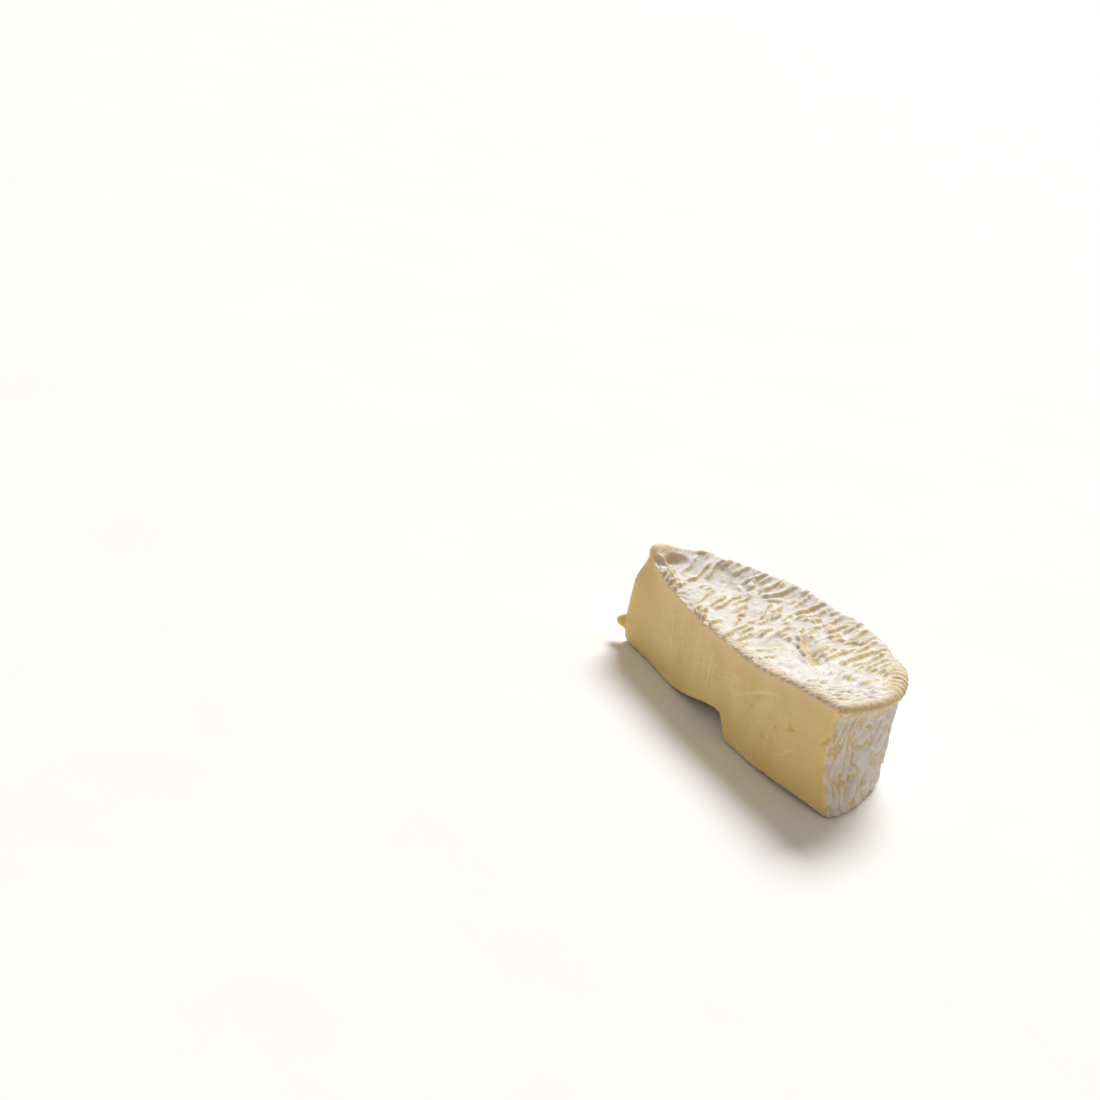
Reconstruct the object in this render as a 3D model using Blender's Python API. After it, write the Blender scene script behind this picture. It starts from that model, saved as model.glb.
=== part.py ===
"""Half of a small soft cheese wheel, cut upright, resting on its flat underside.

Metres, +Z up. +X runs along the cut, +Y from the cut into the cheese. The origin
lies on the underside, ORIGIN_BEHIND_CUT behind the middle of the cut.

A plain half wheel is meshed first, finest along the ridges of its top. A warp then
settles it: the top sags, the cut bulges, the rim gets its lip and lobes, and the
rind gets its ridges, lumps and furrows.
"""

import math
from typing import NamedTuple

import bmesh
import bpy
from mathutils import Vector, noise
from mathutils.geometry import delaunay_2d_cdt

# The wheel and where it was cut
WHEEL_RADIUS = 0.055
WHEEL_HEIGHT = 0.0318
CUT_PAST_CENTRE = 0.0082
ORIGIN_BEHIND_CUT = 0.020

# How the half has settled
CUT_SAG = 0.0048
CUT_RISE_FROM = 0.010
CUT_RISE_TO = 0.052
CUT_RISE = 0.85
BACK_SAG = 0.0040
TOP_DISH = 0.0008
CUT_BULGE_TOP = 0.0045
CUT_BULGE_FOOT = 0.0042
CUT_BULGE_REACH = 0.018
RIGHT_TOP_TUCK = 0.35
LEFT_END_BULGE = 0.0037
LEFT_END_REACH = 0.009
LEFT_EAR_TUCK = 0.0018
LEFT_EAR_REACH = 0.0045
RIGHT_FOOT_TUCK = 0.0022
RIGHT_FOOT_REACH = 0.009
RIGHT_FOOT_FLARE = 0.0028
RIGHT_FLARE_ANGLE = 15
RIGHT_FLARE_SPREAD = 19

# The hollow under the cut's foot
HOLLOW_HEIGHT = 0.0060
HOLLOW_LEFT = -0.030
HOLLOW_PEAK = 0.0065
HOLLOW_RIGHT = 0.0135
HOLLOW_REACH = 0.013

# A lower hollow near the right end of the foot
LIFT_HEIGHT = 0.0013
LIFT_MIDDLE = 0.043
LIFT_HALF_WIDTH = 0.013
LIFT_REACH = 0.006

# Edges
CORNER_RADIUS = 0.0014
RIM_TOP_RADIUS = 0.0026
RIM_FOOT_RADIUS = 0.0022
CUT_TOP_RADIUS = 0.0009
CUT_FOOT_RADIUS = 0.0020

# The lip along the top of the rim
LIP_OVERHANG = 0.0010
LIP_RISE = 0.0006
LIP_WIDTH = 0.0045
LIP_LEVEL = 0.955
LIP_LEVELS = 0.05

# Ridges that a straw mat leaves on the top: they leave the back of the rim at a slant
# and bend further over on their way to the cut
RIDGE_PITCH = 0.0041
RIDGE_HEIGHT = 0.00060
RIDGE_START = 0.044
RIDGE_SLANT = 0.36
RIDGE_BEND = 8.5
RIDGE_WANDER = 0.0016
RIDGE_REACH = 0.016

# Lumps and furrows of the rind, and low waves of the cut
LUMP_HEIGHT = 0.0005
LUMP_SIZE = 0.0032
LUMP_REACH = 0.008
SWELL_HEIGHT = 0.0005
SWELL_SIZE = 0.011
LOBE_HEIGHT = 0.0004
LOBE_SIZE = 0.009
FURROW_DEPTH = 0.00045
FURROW_SPACING = 0.0034
FURROW_LENGTH = 0.010
CUT_WAVE_HEIGHT = 0.00035
CUT_WAVE_SIZE = 0.010

# How finely the plain half wheel is divided
RIM_STEP = 0.0016
CUT_STEP = 0.0017
RIDGE_POINTS = 4
TOP_ROW_STEP = 0.0024
UNDERSIDE_STEP = 0.0030
WALL_LEVELS = 6

HALF_CHORD = math.sqrt(WHEEL_RADIUS**2 - CUT_PAST_CENTRE**2)
CORNER_ANGLE = math.asin(CUT_PAST_CENTRE / WHEEL_RADIUS)


class Dent(NamedTuple):
    """An oval hollow in the top: middle, half length, half width, turn and depth."""

    x: float
    y: float
    along: float
    across: float
    turn: float
    depth: float


DENTS = (
    Dent(0.0085, 0.0205, 0.0100, 0.0024, -20, 0.0016),
    Dent(0.0130, 0.0160, 0.0055, 0.0035, -25, 0.0010),
    Dent(-0.0340, 0.0155, 0.0060, 0.0050, 0, 0.0012),
    Dent(-0.0240, 0.0160, 0.0050, 0.0022, -60, 0.0009),
    Dent(-0.0125, 0.0160, 0.0050, 0.0022, -60, 0.0009),
    Dent(-0.0040, 0.0230, 0.0045, 0.0020, -58, 0.0008),
    Dent(0.0300, 0.0200, 0.0110, 0.0045, -42, 0.0008),
)


class Notch(NamedTuple):
    """A step in the rim, seen from above: its angle from +X, width and depth."""

    angle: float
    width: float
    depth: float


NOTCHES = (
    Notch(162.5, 3, 0.0011),
    Notch(147, 4, 0.0006),
    Notch(134.5, 4, 0.0010),
    Notch(114, 4, 0.0006),
    Notch(105, 3, 0.0007),
    Notch(74.5, 4.5, 0.0012),
    Notch(56, 15, 0.0012),
)


class Knob(NamedTuple):
    """A stretch where the lip is swollen: its angle, width and extra share."""

    angle: float
    width: float
    extra: float


KNOBS = (
    Knob(57, 10, 0.6),
    Knob(169, 7, 1.7),
)


def smooth(low, high, value):
    """0 up to low, 1 from high on, and an even ramp between them."""
    share = min(max((value - low) / (high - low), 0.0), 1.0)
    return share * share * (3 - 2 * share)


def hump(distance):
    """1 at no distance, falling smoothly to almost nothing at 2."""
    return math.exp(-distance * distance)


def grain(x, y, z, size):
    """Smooth noise between -1 and 1, with blobs about this size."""
    return noise.noise(Vector((x, y, z)) / size)


def rim_place(x, y):
    """(radius, angle in degrees) about the wheel's own centre."""
    return math.hypot(x, y + CUT_PAST_CENTRE), math.degrees(math.atan2(y + CUT_PAST_CENTRE, x))


def rim_share(angle):
    """0 at the right end of the rim, 1 at its left end."""
    first = math.degrees(CORNER_ANGLE)
    return min(max((angle - first) / (180 - 2 * first), 0.0), 1.0)


def ridge_drift(y):
    """How far the ridges have run to the right by the time they reach y."""
    run = RIDGE_START - y
    return RIDGE_SLANT * run + RIDGE_BEND * run * abs(run)


def rim_growth(angle):
    """How far the rim stands out of its circle at this angle."""
    turn = math.radians(angle)
    out = LOBE_HEIGHT * grain(
        WHEEL_RADIUS * math.cos(turn), WHEEL_RADIUS * math.sin(turn), 0.3, LOBE_SIZE
    )
    for notch in NOTCHES:
        out -= notch.depth * hump((angle - notch.angle) / notch.width)
    return out


def lip_strength(angle):
    """1 along the rim, and more where the lip is swollen."""
    return 1 + sum(knob.extra * hump((angle - knob.angle) / knob.width) for knob in KNOBS)


def dent_depth(x, y):
    """How far the named dents lower the top here."""
    total = 0.0
    for dent in DENTS:
        turn = math.radians(dent.turn)
        east, north = x - dent.x, y - dent.y
        along = east * math.cos(turn) + north * math.sin(turn)
        across = north * math.cos(turn) - east * math.sin(turn)
        total += dent.depth * hump(math.hypot(along / dent.along, across / dent.across))
    return total


def top_relief(x, y, inside):
    """Height of ridges, lumps and swells on the top, inside metres in from the rim."""
    wander = RIDGE_WANDER * grain(x, y, 0.1, 0.009)
    phase = 2 * math.pi * (x - ridge_drift(y) + wander) / RIDGE_PITCH
    near_rim = 1 - smooth(0.4 * RIDGE_REACH, 1.3 * RIDGE_REACH, inside)
    over_lip = 0.4 + 0.6 * smooth(0.0, LIP_WIDTH, inside)
    patch = max(0.7 + 0.8 * grain(x, y, 0.7, 0.011), 0.1)
    ridges = RIDGE_HEIGHT * math.cos(phase) * patch * (0.3 + 0.7 * near_rim) * over_lip
    near_cut = 1 - smooth(0.3 * LUMP_REACH, 1.6 * LUMP_REACH, y)
    lumps = LUMP_HEIGHT * grain(x, y, 0.5, LUMP_SIZE) * (0.25 + 0.75 * near_cut)
    swells = SWELL_HEIGHT * grain(x, y, 0.9, SWELL_SIZE)
    return ridges + lumps + swells


def top_height(x, y):
    """Height of the settled top over a point of the plain half wheel."""
    radius, angle = rim_place(x, y)
    inside = WHEEL_RADIUS - radius
    along = min(abs(x) / HALF_CHORD, 1.0)
    sag = CUT_SAG * (1 - CUT_RISE * smooth(CUT_RISE_FROM, CUT_RISE_TO, x))
    cut = WHEEL_HEIGHT - sag * (1 - along**4)
    back = WHEEL_HEIGHT - BACK_SAG * math.sin(math.pi * rim_share(angle)) ** 2
    depth = math.sqrt(max(WHEEL_RADIUS**2 - x * x, 1e-8)) - CUT_PAST_CENTRE
    share = min(max(y / max(depth, 0.002), 0.0), 1.0)
    level = cut + (back - cut) * share
    level -= TOP_DISH * smooth(0.0, 0.010, inside) * smooth(0.0, 0.010, y)
    level += LIP_RISE * lip_strength(angle) * hump((inside - 0.4 * LIP_WIDTH) / LIP_WIDTH)
    return level - dent_depth(x, y) + top_relief(x, y, inside)


def foot_height(x, y):
    """Height of the underside: flat, but for two hollows under the cut."""
    if x < HOLLOW_PEAK:
        along = smooth(HOLLOW_LEFT, HOLLOW_PEAK, x) ** 1.6
    else:
        along = 1 - smooth(HOLLOW_PEAK, HOLLOW_RIGHT, x)
    hollow = HOLLOW_HEIGHT * along * (1 - smooth(0.0, HOLLOW_REACH, y))
    lift = hump((x - LIFT_MIDDLE) / LIFT_HALF_WIDTH) * (1 - smooth(0.0, LIFT_REACH, y))
    return hollow + LIFT_HEIGHT * lift


def cut_bulge(x, level):
    """How far the cut stands out in front of its plane, level 0 at the foot, 1 at the top."""
    along = min(abs(x) / HALF_CHORD, 1.0)
    bulge = CUT_BULGE_FOOT + (CUT_BULGE_TOP - CUT_BULGE_FOOT) * level
    out = bulge * (1 - along * along) ** 0.6
    out *= 1 - RIGHT_TOP_TUCK * smooth(0.5, 1.0, level) * smooth(CUT_RISE_FROM, CUT_RISE_TO, x)
    slump = 0.2 + 0.8 * (1 - smooth(0.6, 1.05, level)) - 0.35 * (1 - smooth(0.0, 0.25, level))
    out += LEFT_END_BULGE * slump * hump((x + HALF_CHORD) / LEFT_END_REACH)
    foot = 1 - smooth(0.0, 0.6, level)
    out -= RIGHT_FOOT_TUCK * foot * hump((x - HALF_CHORD) / RIGHT_FOOT_REACH)
    return out + CUT_WAVE_HEIGHT * grain(x, 0.2, level * WHEEL_HEIGHT, CUT_WAVE_SIZE)


def side_relief(angle, height):
    """Upright furrows of the rim, which wander as they climb."""
    arc = WHEEL_RADIUS * math.radians(angle)
    wander = 0.5 * FURROW_SPACING * grain(arc, height, 0.4, 0.006)
    furrow = noise.noise(Vector(((arc + wander) / FURROW_SPACING, height / FURROW_LENGTH, 1.7)))
    return FURROW_DEPTH * furrow * 1.4


def settled(x, y, z):
    """Where a point of the plain half wheel comes to lie."""
    radius, angle = rim_place(x, y)
    level = z / WHEEL_HEIGHT
    rim = smooth(WHEEL_RADIUS - 0.012, WHEEL_RADIUS, radius)
    wall = smooth(WHEEL_RADIUS - 0.003, WHEEL_RADIUS, radius) * smooth(0.0, 0.003, y)
    out = rim_growth(angle) * rim * smooth(0.0, 0.5, level)
    out += LIP_OVERHANG * lip_strength(angle) * rim * hump((level - LIP_LEVEL) / LIP_LEVELS)
    out += side_relief(angle, z) * wall * smooth(0.05, 0.2, level)
    flare = hump((angle - RIGHT_FLARE_ANGLE) / RIGHT_FLARE_SPREAD)
    out += RIGHT_FOOT_FLARE * flare * rim * (1 - smooth(0.0, 0.5, level))
    stretch = 1 + out / max(radius, 0.01)
    foot = foot_height(x, y)
    height = foot + (top_height(x, y) - foot) * level
    ahead = cut_bulge(x, level) * (1 - smooth(0.0, CUT_BULGE_REACH, y))
    ear = hump(math.hypot(x + HALF_CHORD, y) / LEFT_EAR_REACH) * smooth(0.6, 1.0, level)
    tuck = LEFT_EAR_TUCK * ear
    east = x * stretch + tuck
    north = (y + CUT_PAST_CENTRE) * stretch - CUT_PAST_CENTRE - ahead + 0.4 * tuck
    return Vector((east, north - ORIGIN_BEHIND_CUT, height - 0.6 * tuck))


class Edge(NamedTuple):
    """A point of the plain outline, with the radii of the edges above and below it."""

    x: float
    y: float
    top: float
    foot: float
    on_cut: bool


def plain_outline():
    """Points round the half wheel seen from above, from the right end, anticlockwise."""
    span = math.pi - 2 * CORNER_ANGLE
    arcs = round(WHEEL_RADIUS * span / RIM_STEP)
    edges = []
    for step in range(1, arcs):
        angle = CORNER_ANGLE + span * step / arcs
        x = WHEEL_RADIUS * math.cos(angle)
        y = WHEEL_RADIUS * math.sin(angle) - CUT_PAST_CENTRE
        edges.append(Edge(x, y, RIM_TOP_RADIUS, RIM_FOOT_RADIUS, False))
    edges += corner(-1)
    cuts = round(2 * HALF_CHORD / CUT_STEP)
    for step in range(1, cuts):
        x = HALF_CHORD * (2 * step / cuts - 1)
        edges.append(Edge(x, 0.0, CUT_TOP_RADIUS, CUT_FOOT_RADIUS, True))
    return edges + corner(1)


def corner(side):
    """Two points that round the outline's corner, side -1 for the left one."""
    inner = HALF_CHORD - 0.35 * CORNER_RADIUS
    rim = Edge(side * inner, 0.75 * CORNER_RADIUS, CUT_TOP_RADIUS, CUT_FOOT_RADIUS, False)
    cut = Edge(
        side * (inner - 0.45 * CORNER_RADIUS), 0.0002, CUT_TOP_RADIUS, CUT_FOOT_RADIUS, True
    )
    return [rim, cut] if side < 0 else [cut, rim]


def inward(edge):
    """Unit direction from an outline point to the middle of the half wheel's depth."""
    depth = math.sqrt(WHEEL_RADIUS**2 - edge.x**2) - CUT_PAST_CENTRE
    return (Vector((0.84 * edge.x, 0.45 * depth)) - Vector((edge.x, edge.y))).normalized()


def wall_ring(edges, inset, height):
    """Plain points of one ring. inset and height turn an outline point into numbers."""
    ring = []
    for edge in edges:
        place = Vector((edge.x, edge.y)) + inward(edge) * inset(edge)
        ring.append((place.x, place.y, height(edge)))
    return ring


def wall_rings(edges):
    """Rings from the underside's border up to the top's border, with rounded edges."""
    rounding = (0, 30, 60, 90)
    rings = []
    for turn in (math.radians(angle) for angle in rounding):
        rings.append(
            wall_ring(
                edges,
                lambda edge, turn=turn: edge.foot * (1 - math.sin(turn)),
                lambda edge, turn=turn: edge.foot * (1 - math.cos(turn)),
            )
        )
    for step in range(1, WALL_LEVELS):
        share = step / WALL_LEVELS
        rings.append(
            wall_ring(
                edges,
                lambda edge: 0.0,
                lambda edge, share=share: edge.foot
                + (WHEEL_HEIGHT - edge.foot - edge.top) * share,
            )
        )
    for turn in (math.radians(angle) for angle in reversed(rounding)):
        rings.append(
            wall_ring(
                edges,
                lambda edge, turn=turn: edge.top * (1 - math.sin(turn)),
                lambda edge, turn=turn: WHEEL_HEIGHT - edge.top * (1 - math.cos(turn)),
            )
        )
    return rings


def clear_of_border(x, y, rim_gap, cut_gap):
    """Whether a plan point lies this far inside the rim and the cut."""
    return y > cut_gap and rim_place(x, y)[0] < WHEEL_RADIUS - rim_gap


def top_lanes():
    """Rows of plan points inside the top's border, one row along each lane of the ridges."""
    spacing = RIDGE_PITCH / RIDGE_POINTS
    rows = round(WHEEL_RADIUS / TOP_ROW_STEP)
    widest = round(1.6 * WHEEL_RADIUS / spacing)
    lanes = []
    for lane in range(-widest, widest):
        heights = [(row + 0.6) * TOP_ROW_STEP for row in range(rows)]
        points = [(lane * spacing + ridge_drift(y), y) for y in heights]
        rim_gap, cut_gap = RIM_TOP_RADIUS + 0.0008, CUT_TOP_RADIUS + 0.0006
        lanes.append([point for point in points if clear_of_border(*point, rim_gap, cut_gap)])
    return lanes


def underside_lanes():
    """Rows of plan points inside the underside's border, only behind the hollows."""
    right = LIFT_MIDDLE + LIFT_HALF_WIDTH
    columns = round((right - HOLLOW_LEFT) / UNDERSIDE_STEP)
    lanes = []
    for column in range(columns + 1):
        x = HOLLOW_LEFT - UNDERSIDE_STEP + column * UNDERSIDE_STEP
        lane = [(x, row * UNDERSIDE_STEP) for row in range(1, 6)]
        gap = CUT_FOOT_RADIUS + 0.0006
        lanes.append([point for point in lane if clear_of_border(*point, gap, gap)])
    return lanes


def fill_border(bm, border, plan_border, lanes, height):
    """Triangles over a closed border of vertices, with edges along lanes of inner points."""
    grown = 1000
    plan = [Vector((x, y)) * grown for x, y, _ in plan_border]
    ends = [(index, (index + 1) % len(border)) for index in range(len(border))]
    verts = list(border)
    for lane in lanes:
        ends += [(len(plan) + step, len(plan) + step + 1) for step in range(len(lane) - 1)]
        plan += [Vector(point) * grown for point in lane]
        verts += [bm.verts.new(settled(x, y, height)) for x, y in lane]
    _, _, triangles, sources, _, _ = delaunay_2d_cdt(plan, ends, [], 1, 1e-4)
    for triangle in triangles:
        bm.faces.new([verts[sources[index][0]] for index in triangle])


def band_faces(bm, lower, upper, edges):
    """Faces between two rings of vertices. Those of the cut get the second material."""
    for index, edge in enumerate(edges):
        after = (index + 1) % len(edges)
        face = bm.faces.new((lower[index], lower[after], upper[after], upper[index]))
        face.material_index = int(edge.on_cut and edges[after].on_cut)


def make_material(name, colour, roughness):
    """A plain surface finish."""
    material = bpy.data.materials.new(name)
    material.use_nodes = True
    shader = material.node_tree.nodes["Principled BSDF"]
    shader.inputs["Base Color"].default_value = (*colour, 1.0)
    shader.inputs["Roughness"].default_value = roughness
    shader.inputs["Metallic"].default_value = 0.0
    return material


def make_cheese_half():
    """The half wheel as one closed solid."""
    edges = plain_outline()
    plain = wall_rings(edges)
    bm = bmesh.new()
    rings = [[bm.verts.new(settled(*point)) for point in ring] for ring in plain]
    for lower, upper in zip(rings, rings[1:]):
        band_faces(bm, lower, upper, edges)
    fill_border(bm, rings[-1], plain[-1], top_lanes(), WHEEL_HEIGHT)
    fill_border(bm, rings[0], plain[0], underside_lanes(), 0.0)
    bmesh.ops.triangulate(bm, faces=bm.faces[:])
    bmesh.ops.recalc_face_normals(bm, faces=bm.faces[:])
    mesh = bpy.data.meshes.new("cheese_half")
    bm.to_mesh(mesh)
    bm.free()
    mesh.shade_smooth()
    mesh.materials.append(make_material("rind", (0.83, 0.77, 0.66), 0.85))
    mesh.materials.append(make_material("paste", (0.78, 0.62, 0.26), 0.45))
    cheese = bpy.data.objects.new("cheese_half", mesh)
    bpy.context.scene.collection.objects.link(cheese)
    return cheese


def main():
    """Clears the scene and builds the half wheel."""
    for old in list(bpy.data.objects):
        bpy.data.objects.remove(old, do_unlink=True)
    make_cheese_half()


main()
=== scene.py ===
"""Half of a soft ripened cheese wheel: its folded white rind, its waxy cut and its crumbs.

Metres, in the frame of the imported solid. Inside the classes a place is given on the
plain half wheel, which has its cut at y = 0 and its foot at z = 0. Settling then moves
that place to where it lies on the real cheese.
"""

import logging
import math
import random
from collections.abc import Callable
from dataclasses import dataclass, field
from enum import Enum

import bpy
import numpy as np
from mathutils import Matrix, Vector, noise


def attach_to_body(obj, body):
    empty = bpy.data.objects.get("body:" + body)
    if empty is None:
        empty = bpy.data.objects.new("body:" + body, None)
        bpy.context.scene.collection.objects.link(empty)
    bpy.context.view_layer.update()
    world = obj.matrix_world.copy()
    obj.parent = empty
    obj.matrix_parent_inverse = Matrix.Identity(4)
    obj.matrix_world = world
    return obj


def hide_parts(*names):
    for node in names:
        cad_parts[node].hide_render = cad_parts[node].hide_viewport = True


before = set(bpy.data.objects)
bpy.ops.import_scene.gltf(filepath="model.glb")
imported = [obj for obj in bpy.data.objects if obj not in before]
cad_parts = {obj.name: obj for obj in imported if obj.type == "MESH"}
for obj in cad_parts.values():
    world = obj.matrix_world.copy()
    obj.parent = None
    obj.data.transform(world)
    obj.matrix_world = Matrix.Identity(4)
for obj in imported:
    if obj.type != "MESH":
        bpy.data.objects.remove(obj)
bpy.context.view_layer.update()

Array = np.ndarray
Paint = tuple[float, float, float, float]
Socket = bpy.types.NodeSocket

MM = 0.001
BODY = "root"
NODE = "cheese_half"
STRAW_MAP = "straw_map"

log = logging.getLogger("cheese")


class Mask(Enum):
    """What is stored at each point of the cheese for its finish, mostly from 0 to 1."""

    WORN = "worn"
    PASTE = "paste"
    # Painted shade in hollows and over the side, with the rind's own grey clouds on the top.
    DUSK = "dusk"
    EDGE = "edge"
    HOLE = "hole"
    SMEAR = "smear"
    TOP = "top"


class Skin(Enum):
    """The finishes of the half wheel, in the order of its material slots."""

    RIND = 0
    PASTE = 1


def ease(low: float, high: float, value: Array) -> Array:
    """0 up to low, 1 from high on, and a smooth rise between them.

    Args:
        low: Where the rise starts.
        high: Where the rise ends.
        value: The places along it.

    Returns:
        One share for each place.
    """
    share = np.clip((value - low) / (high - low), 0.0, 1.0)
    return share * share * (3 - 2 * share)


def hump(distance: Array) -> Array:
    """1 at no distance, falling smoothly to almost nothing at 2."""
    return np.exp(-distance * distance)


def grain(x: Array, y: Array, z: Array, size: float) -> Array:
    """Smooth noise between -1 and 1, with blobs about this size.

    Args:
        x: First coordinates.
        y: Second coordinates.
        z: Third coordinates, or one number that picks a pattern.
        size: The size of the blobs.

    Returns:
        One value for each point.
    """
    points = np.stack(np.broadcast_arrays(x, y, z), axis=-1) / size
    return np.array([noise.noise(point) for point in points.tolist()])


@dataclass(frozen=True)
class Oval:
    """An oval patch in millimetres: its middle, its half lengths, its turn in degrees, its depth."""

    x: float
    y: float
    along: float
    across: float
    turn: float = 0.0
    depth: float = 0.0

    def away(self, x: Array, y: Array) -> Array:
        """How far places are from the middle, as a share of the way to the oval's border.

        Args:
            x: First coordinates, in millimetres.
            y: Second coordinates, in millimetres.

        Returns:
            0 in the middle, 1 on the border and more outside it.
        """
        turn = math.radians(self.turn)
        east, north = x - self.x, y - self.y
        along = east * math.cos(turn) + north * math.sin(turn)
        across = north * math.cos(turn) - east * math.sin(turn)
        return np.hypot(along / self.along, across / self.across)


@dataclass(frozen=True)
class Line:
    """A straight line in millimetres, which a fold, a step or a knife mark follows."""

    start: tuple[float, float]
    end: tuple[float, float]

    @property
    def length(self) -> float:
        """Its length."""
        return float(np.hypot(*(np.array(self.end) - np.array(self.start))))

    def measure(self, x: Array, y: Array) -> tuple[Array, Array]:
        """Places along the line and to the left of it.

        Args:
            x: First coordinates.
            y: Second coordinates.

        Returns:
            How far each place lies past the start, and how far to the left of the line.
        """
        ahead = (np.array(self.end) - np.array(self.start)) / self.length
        east, north = x - self.start[0], y - self.start[1]
        return east * ahead[0] + north * ahead[1], north * ahead[0] - east * ahead[1]


@dataclass(frozen=True)
class Wheel:
    """The whole wheel, and where it was cut."""

    radius: float = 0.055
    height: float = 0.0318
    cut_past_centre: float = 0.0082
    origin_behind_cut: float = 0.020

    @property
    def half_chord(self) -> float:
        """Half the length of the cut."""
        return math.sqrt(self.radius**2 - self.cut_past_centre**2)

    @property
    def corner_angle(self) -> float:
        """The rim's angle at the right end of the cut, in degrees."""
        return math.degrees(math.asin(self.cut_past_centre / self.radius))

    def radius_at(self, x: Array, y: Array) -> Array:
        """Distances from the wheel's own centre."""
        return np.hypot(x, y + self.cut_past_centre)

    def angle_at(self, x: Array, y: Array) -> Array:
        """Angles about the wheel's own centre, in degrees from +X."""
        return np.degrees(np.arctan2(y + self.cut_past_centre, x))

    def depth_at(self, x: Array) -> Array:
        """How far the half wheel reaches behind its cut at each x."""
        return np.sqrt(np.maximum(self.radius**2 - x * x, 1e-8)) - self.cut_past_centre


@dataclass(frozen=True)
class RimMark:
    """A notch or a knob of the rim: its angle, its width in degrees and its strength."""

    angle: float
    width: float
    strength: float

    def at(self, angle: Array) -> Array:
        """Its strength at each angle."""
        return self.strength * hump((angle - self.angle) / self.width)


@dataclass(frozen=True)
class Settling:
    """How the plain half wheel has sagged, bulged and spread."""

    wheel: Wheel = Wheel()
    cut_sag: float = 0.0048
    rise_from: float = 0.010
    rise_to: float = 0.052
    rise: float = 0.85
    right_tuck: float = 0.35
    back_sag: float = 0.0040
    dish: float = 0.0008
    bulge_top: float = 0.0045
    bulge_foot: float = 0.0042
    bulge_reach: float = 0.018
    left_bulge: float = 0.0037
    left_reach: float = 0.009
    ear_tuck: float = 0.0018
    ear_reach: float = 0.0045
    foot_tuck: float = 0.0022
    foot_reach: float = 0.009
    foot_flare: RimMark = RimMark(15, 19, 0.0028)
    hollow_height: float = 0.0060
    hollow_left: float = -0.030
    hollow_peak: float = 0.0065
    hollow_right: float = 0.0135
    hollow_reach: float = 0.013
    lift_height: float = 0.0013
    lift_middle: float = 0.043
    lift_half_width: float = 0.013
    lift_reach: float = 0.006
    rim_reach: float = 0.012
    lip_overhang: float = 0.0010
    lip_rise: float = 0.0006
    lip_width: float = 0.0045
    lip_level: float = 0.955
    lip_levels: float = 0.05
    swell_height: float = 0.0005
    swell_size: float = 0.011
    lobe_height: float = 0.0004
    lobe_size: float = 0.009
    wave_height: float = 0.00035
    wave_size: float = 0.010
    dents: tuple[Oval, ...] = (
        Oval(8.5, 20.5, 10.0, 2.4, -20, 1.6),
        Oval(13.0, 16.0, 5.5, 3.5, -25, 1.0),
        Oval(-34.0, 15.5, 6.0, 5.0, 0, 1.2),
        Oval(-24.0, 16.0, 5.0, 2.2, -60, 0.9),
        Oval(-12.5, 16.0, 5.0, 2.2, -60, 0.9),
        Oval(-4.0, 23.0, 4.5, 2.0, -58, 0.8),
        Oval(30.0, 20.0, 11.0, 4.5, -42, 0.8),
        Oval(-46.6, 3.4, 3.0, 1.6, -50, 1.5),
    )
    notches: tuple[RimMark, ...] = (
        RimMark(162.5, 3, 0.0011),
        RimMark(147, 4, 0.0006),
        RimMark(134.5, 4, 0.0010),
        RimMark(114, 4, 0.0006),
        RimMark(105, 3, 0.0007),
        RimMark(74.5, 4.5, 0.0012),
        RimMark(56, 15, 0.0012),
    )
    knobs: tuple[RimMark, ...] = (RimMark(57, 10, 0.6), RimMark(169, 7, 1.7))

    def rim_growth(self, angle: Array) -> Array:
        """How far the rim stands out of its circle.

        Args:
            angle: Angles about the wheel's centre, in degrees.

        Returns:
            One distance for each angle.
        """
        turn = np.radians(angle)
        radius = self.wheel.radius
        out = self.lobe_height * grain(
            radius * np.cos(turn), radius * np.sin(turn), 0.3, self.lobe_size
        )
        return out - sum(notch.at(angle) for notch in self.notches)

    def lip_strength(self, angle: Array) -> Array:
        """1 along the rim, and more where the lip is swollen."""
        return 1 + sum(knob.at(angle) for knob in self.knobs)

    def top_height(self, x: Array, y: Array) -> Array:
        """Height of the settled top, without its folds.

        Args:
            x: Places along the cut.
            y: Places behind the cut.

        Returns:
            One height for each place.
        """
        wheel = self.wheel
        angle = wheel.angle_at(x, y)
        inside = wheel.radius - wheel.radius_at(x, y)
        along = np.minimum(np.abs(x) / wheel.half_chord, 1.0)
        first = wheel.corner_angle
        rim_share = np.clip((angle - first) / (180 - 2 * first), 0.0, 1.0)
        sag = self.cut_sag * (1 - self.rise * ease(self.rise_from, self.rise_to, x))
        cut = wheel.height - sag * (1 - along**4)
        back = wheel.height - self.back_sag * np.sin(np.pi * rim_share) ** 2
        share = np.clip(y / np.maximum(wheel.depth_at(x), 0.002), 0.0, 1.0)
        level = cut + (back - cut) * share
        level -= self.dish * ease(0.0, 0.010, inside) * ease(0.0, 0.010, y)
        ring = hump((inside - 0.4 * self.lip_width) / self.lip_width)
        level += self.lip_rise * self.lip_strength(angle) * ring
        level -= MM * sum(dent.depth * hump(dent.away(x / MM, y / MM)) for dent in self.dents)
        return level + self.swell_height * grain(x, y, 0.9, self.swell_size)

    def foot_height(self, x: Array, y: Array) -> Array:
        """Height of the underside: flat, but for two hollows under the cut.

        Args:
            x: Places along the cut.
            y: Places behind the cut.

        Returns:
            One height for each place.
        """
        rising = ease(self.hollow_left, self.hollow_peak, x) ** 1.6
        falling = 1 - ease(self.hollow_peak, self.hollow_right, x)
        along = np.where(x < self.hollow_peak, rising, falling)
        hollow = self.hollow_height * along * (1 - ease(0.0, self.hollow_reach, y))
        lift = hump((x - self.lift_middle) / self.lift_half_width)
        return hollow + self.lift_height * lift * (1 - ease(0.0, self.lift_reach, y))

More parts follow.
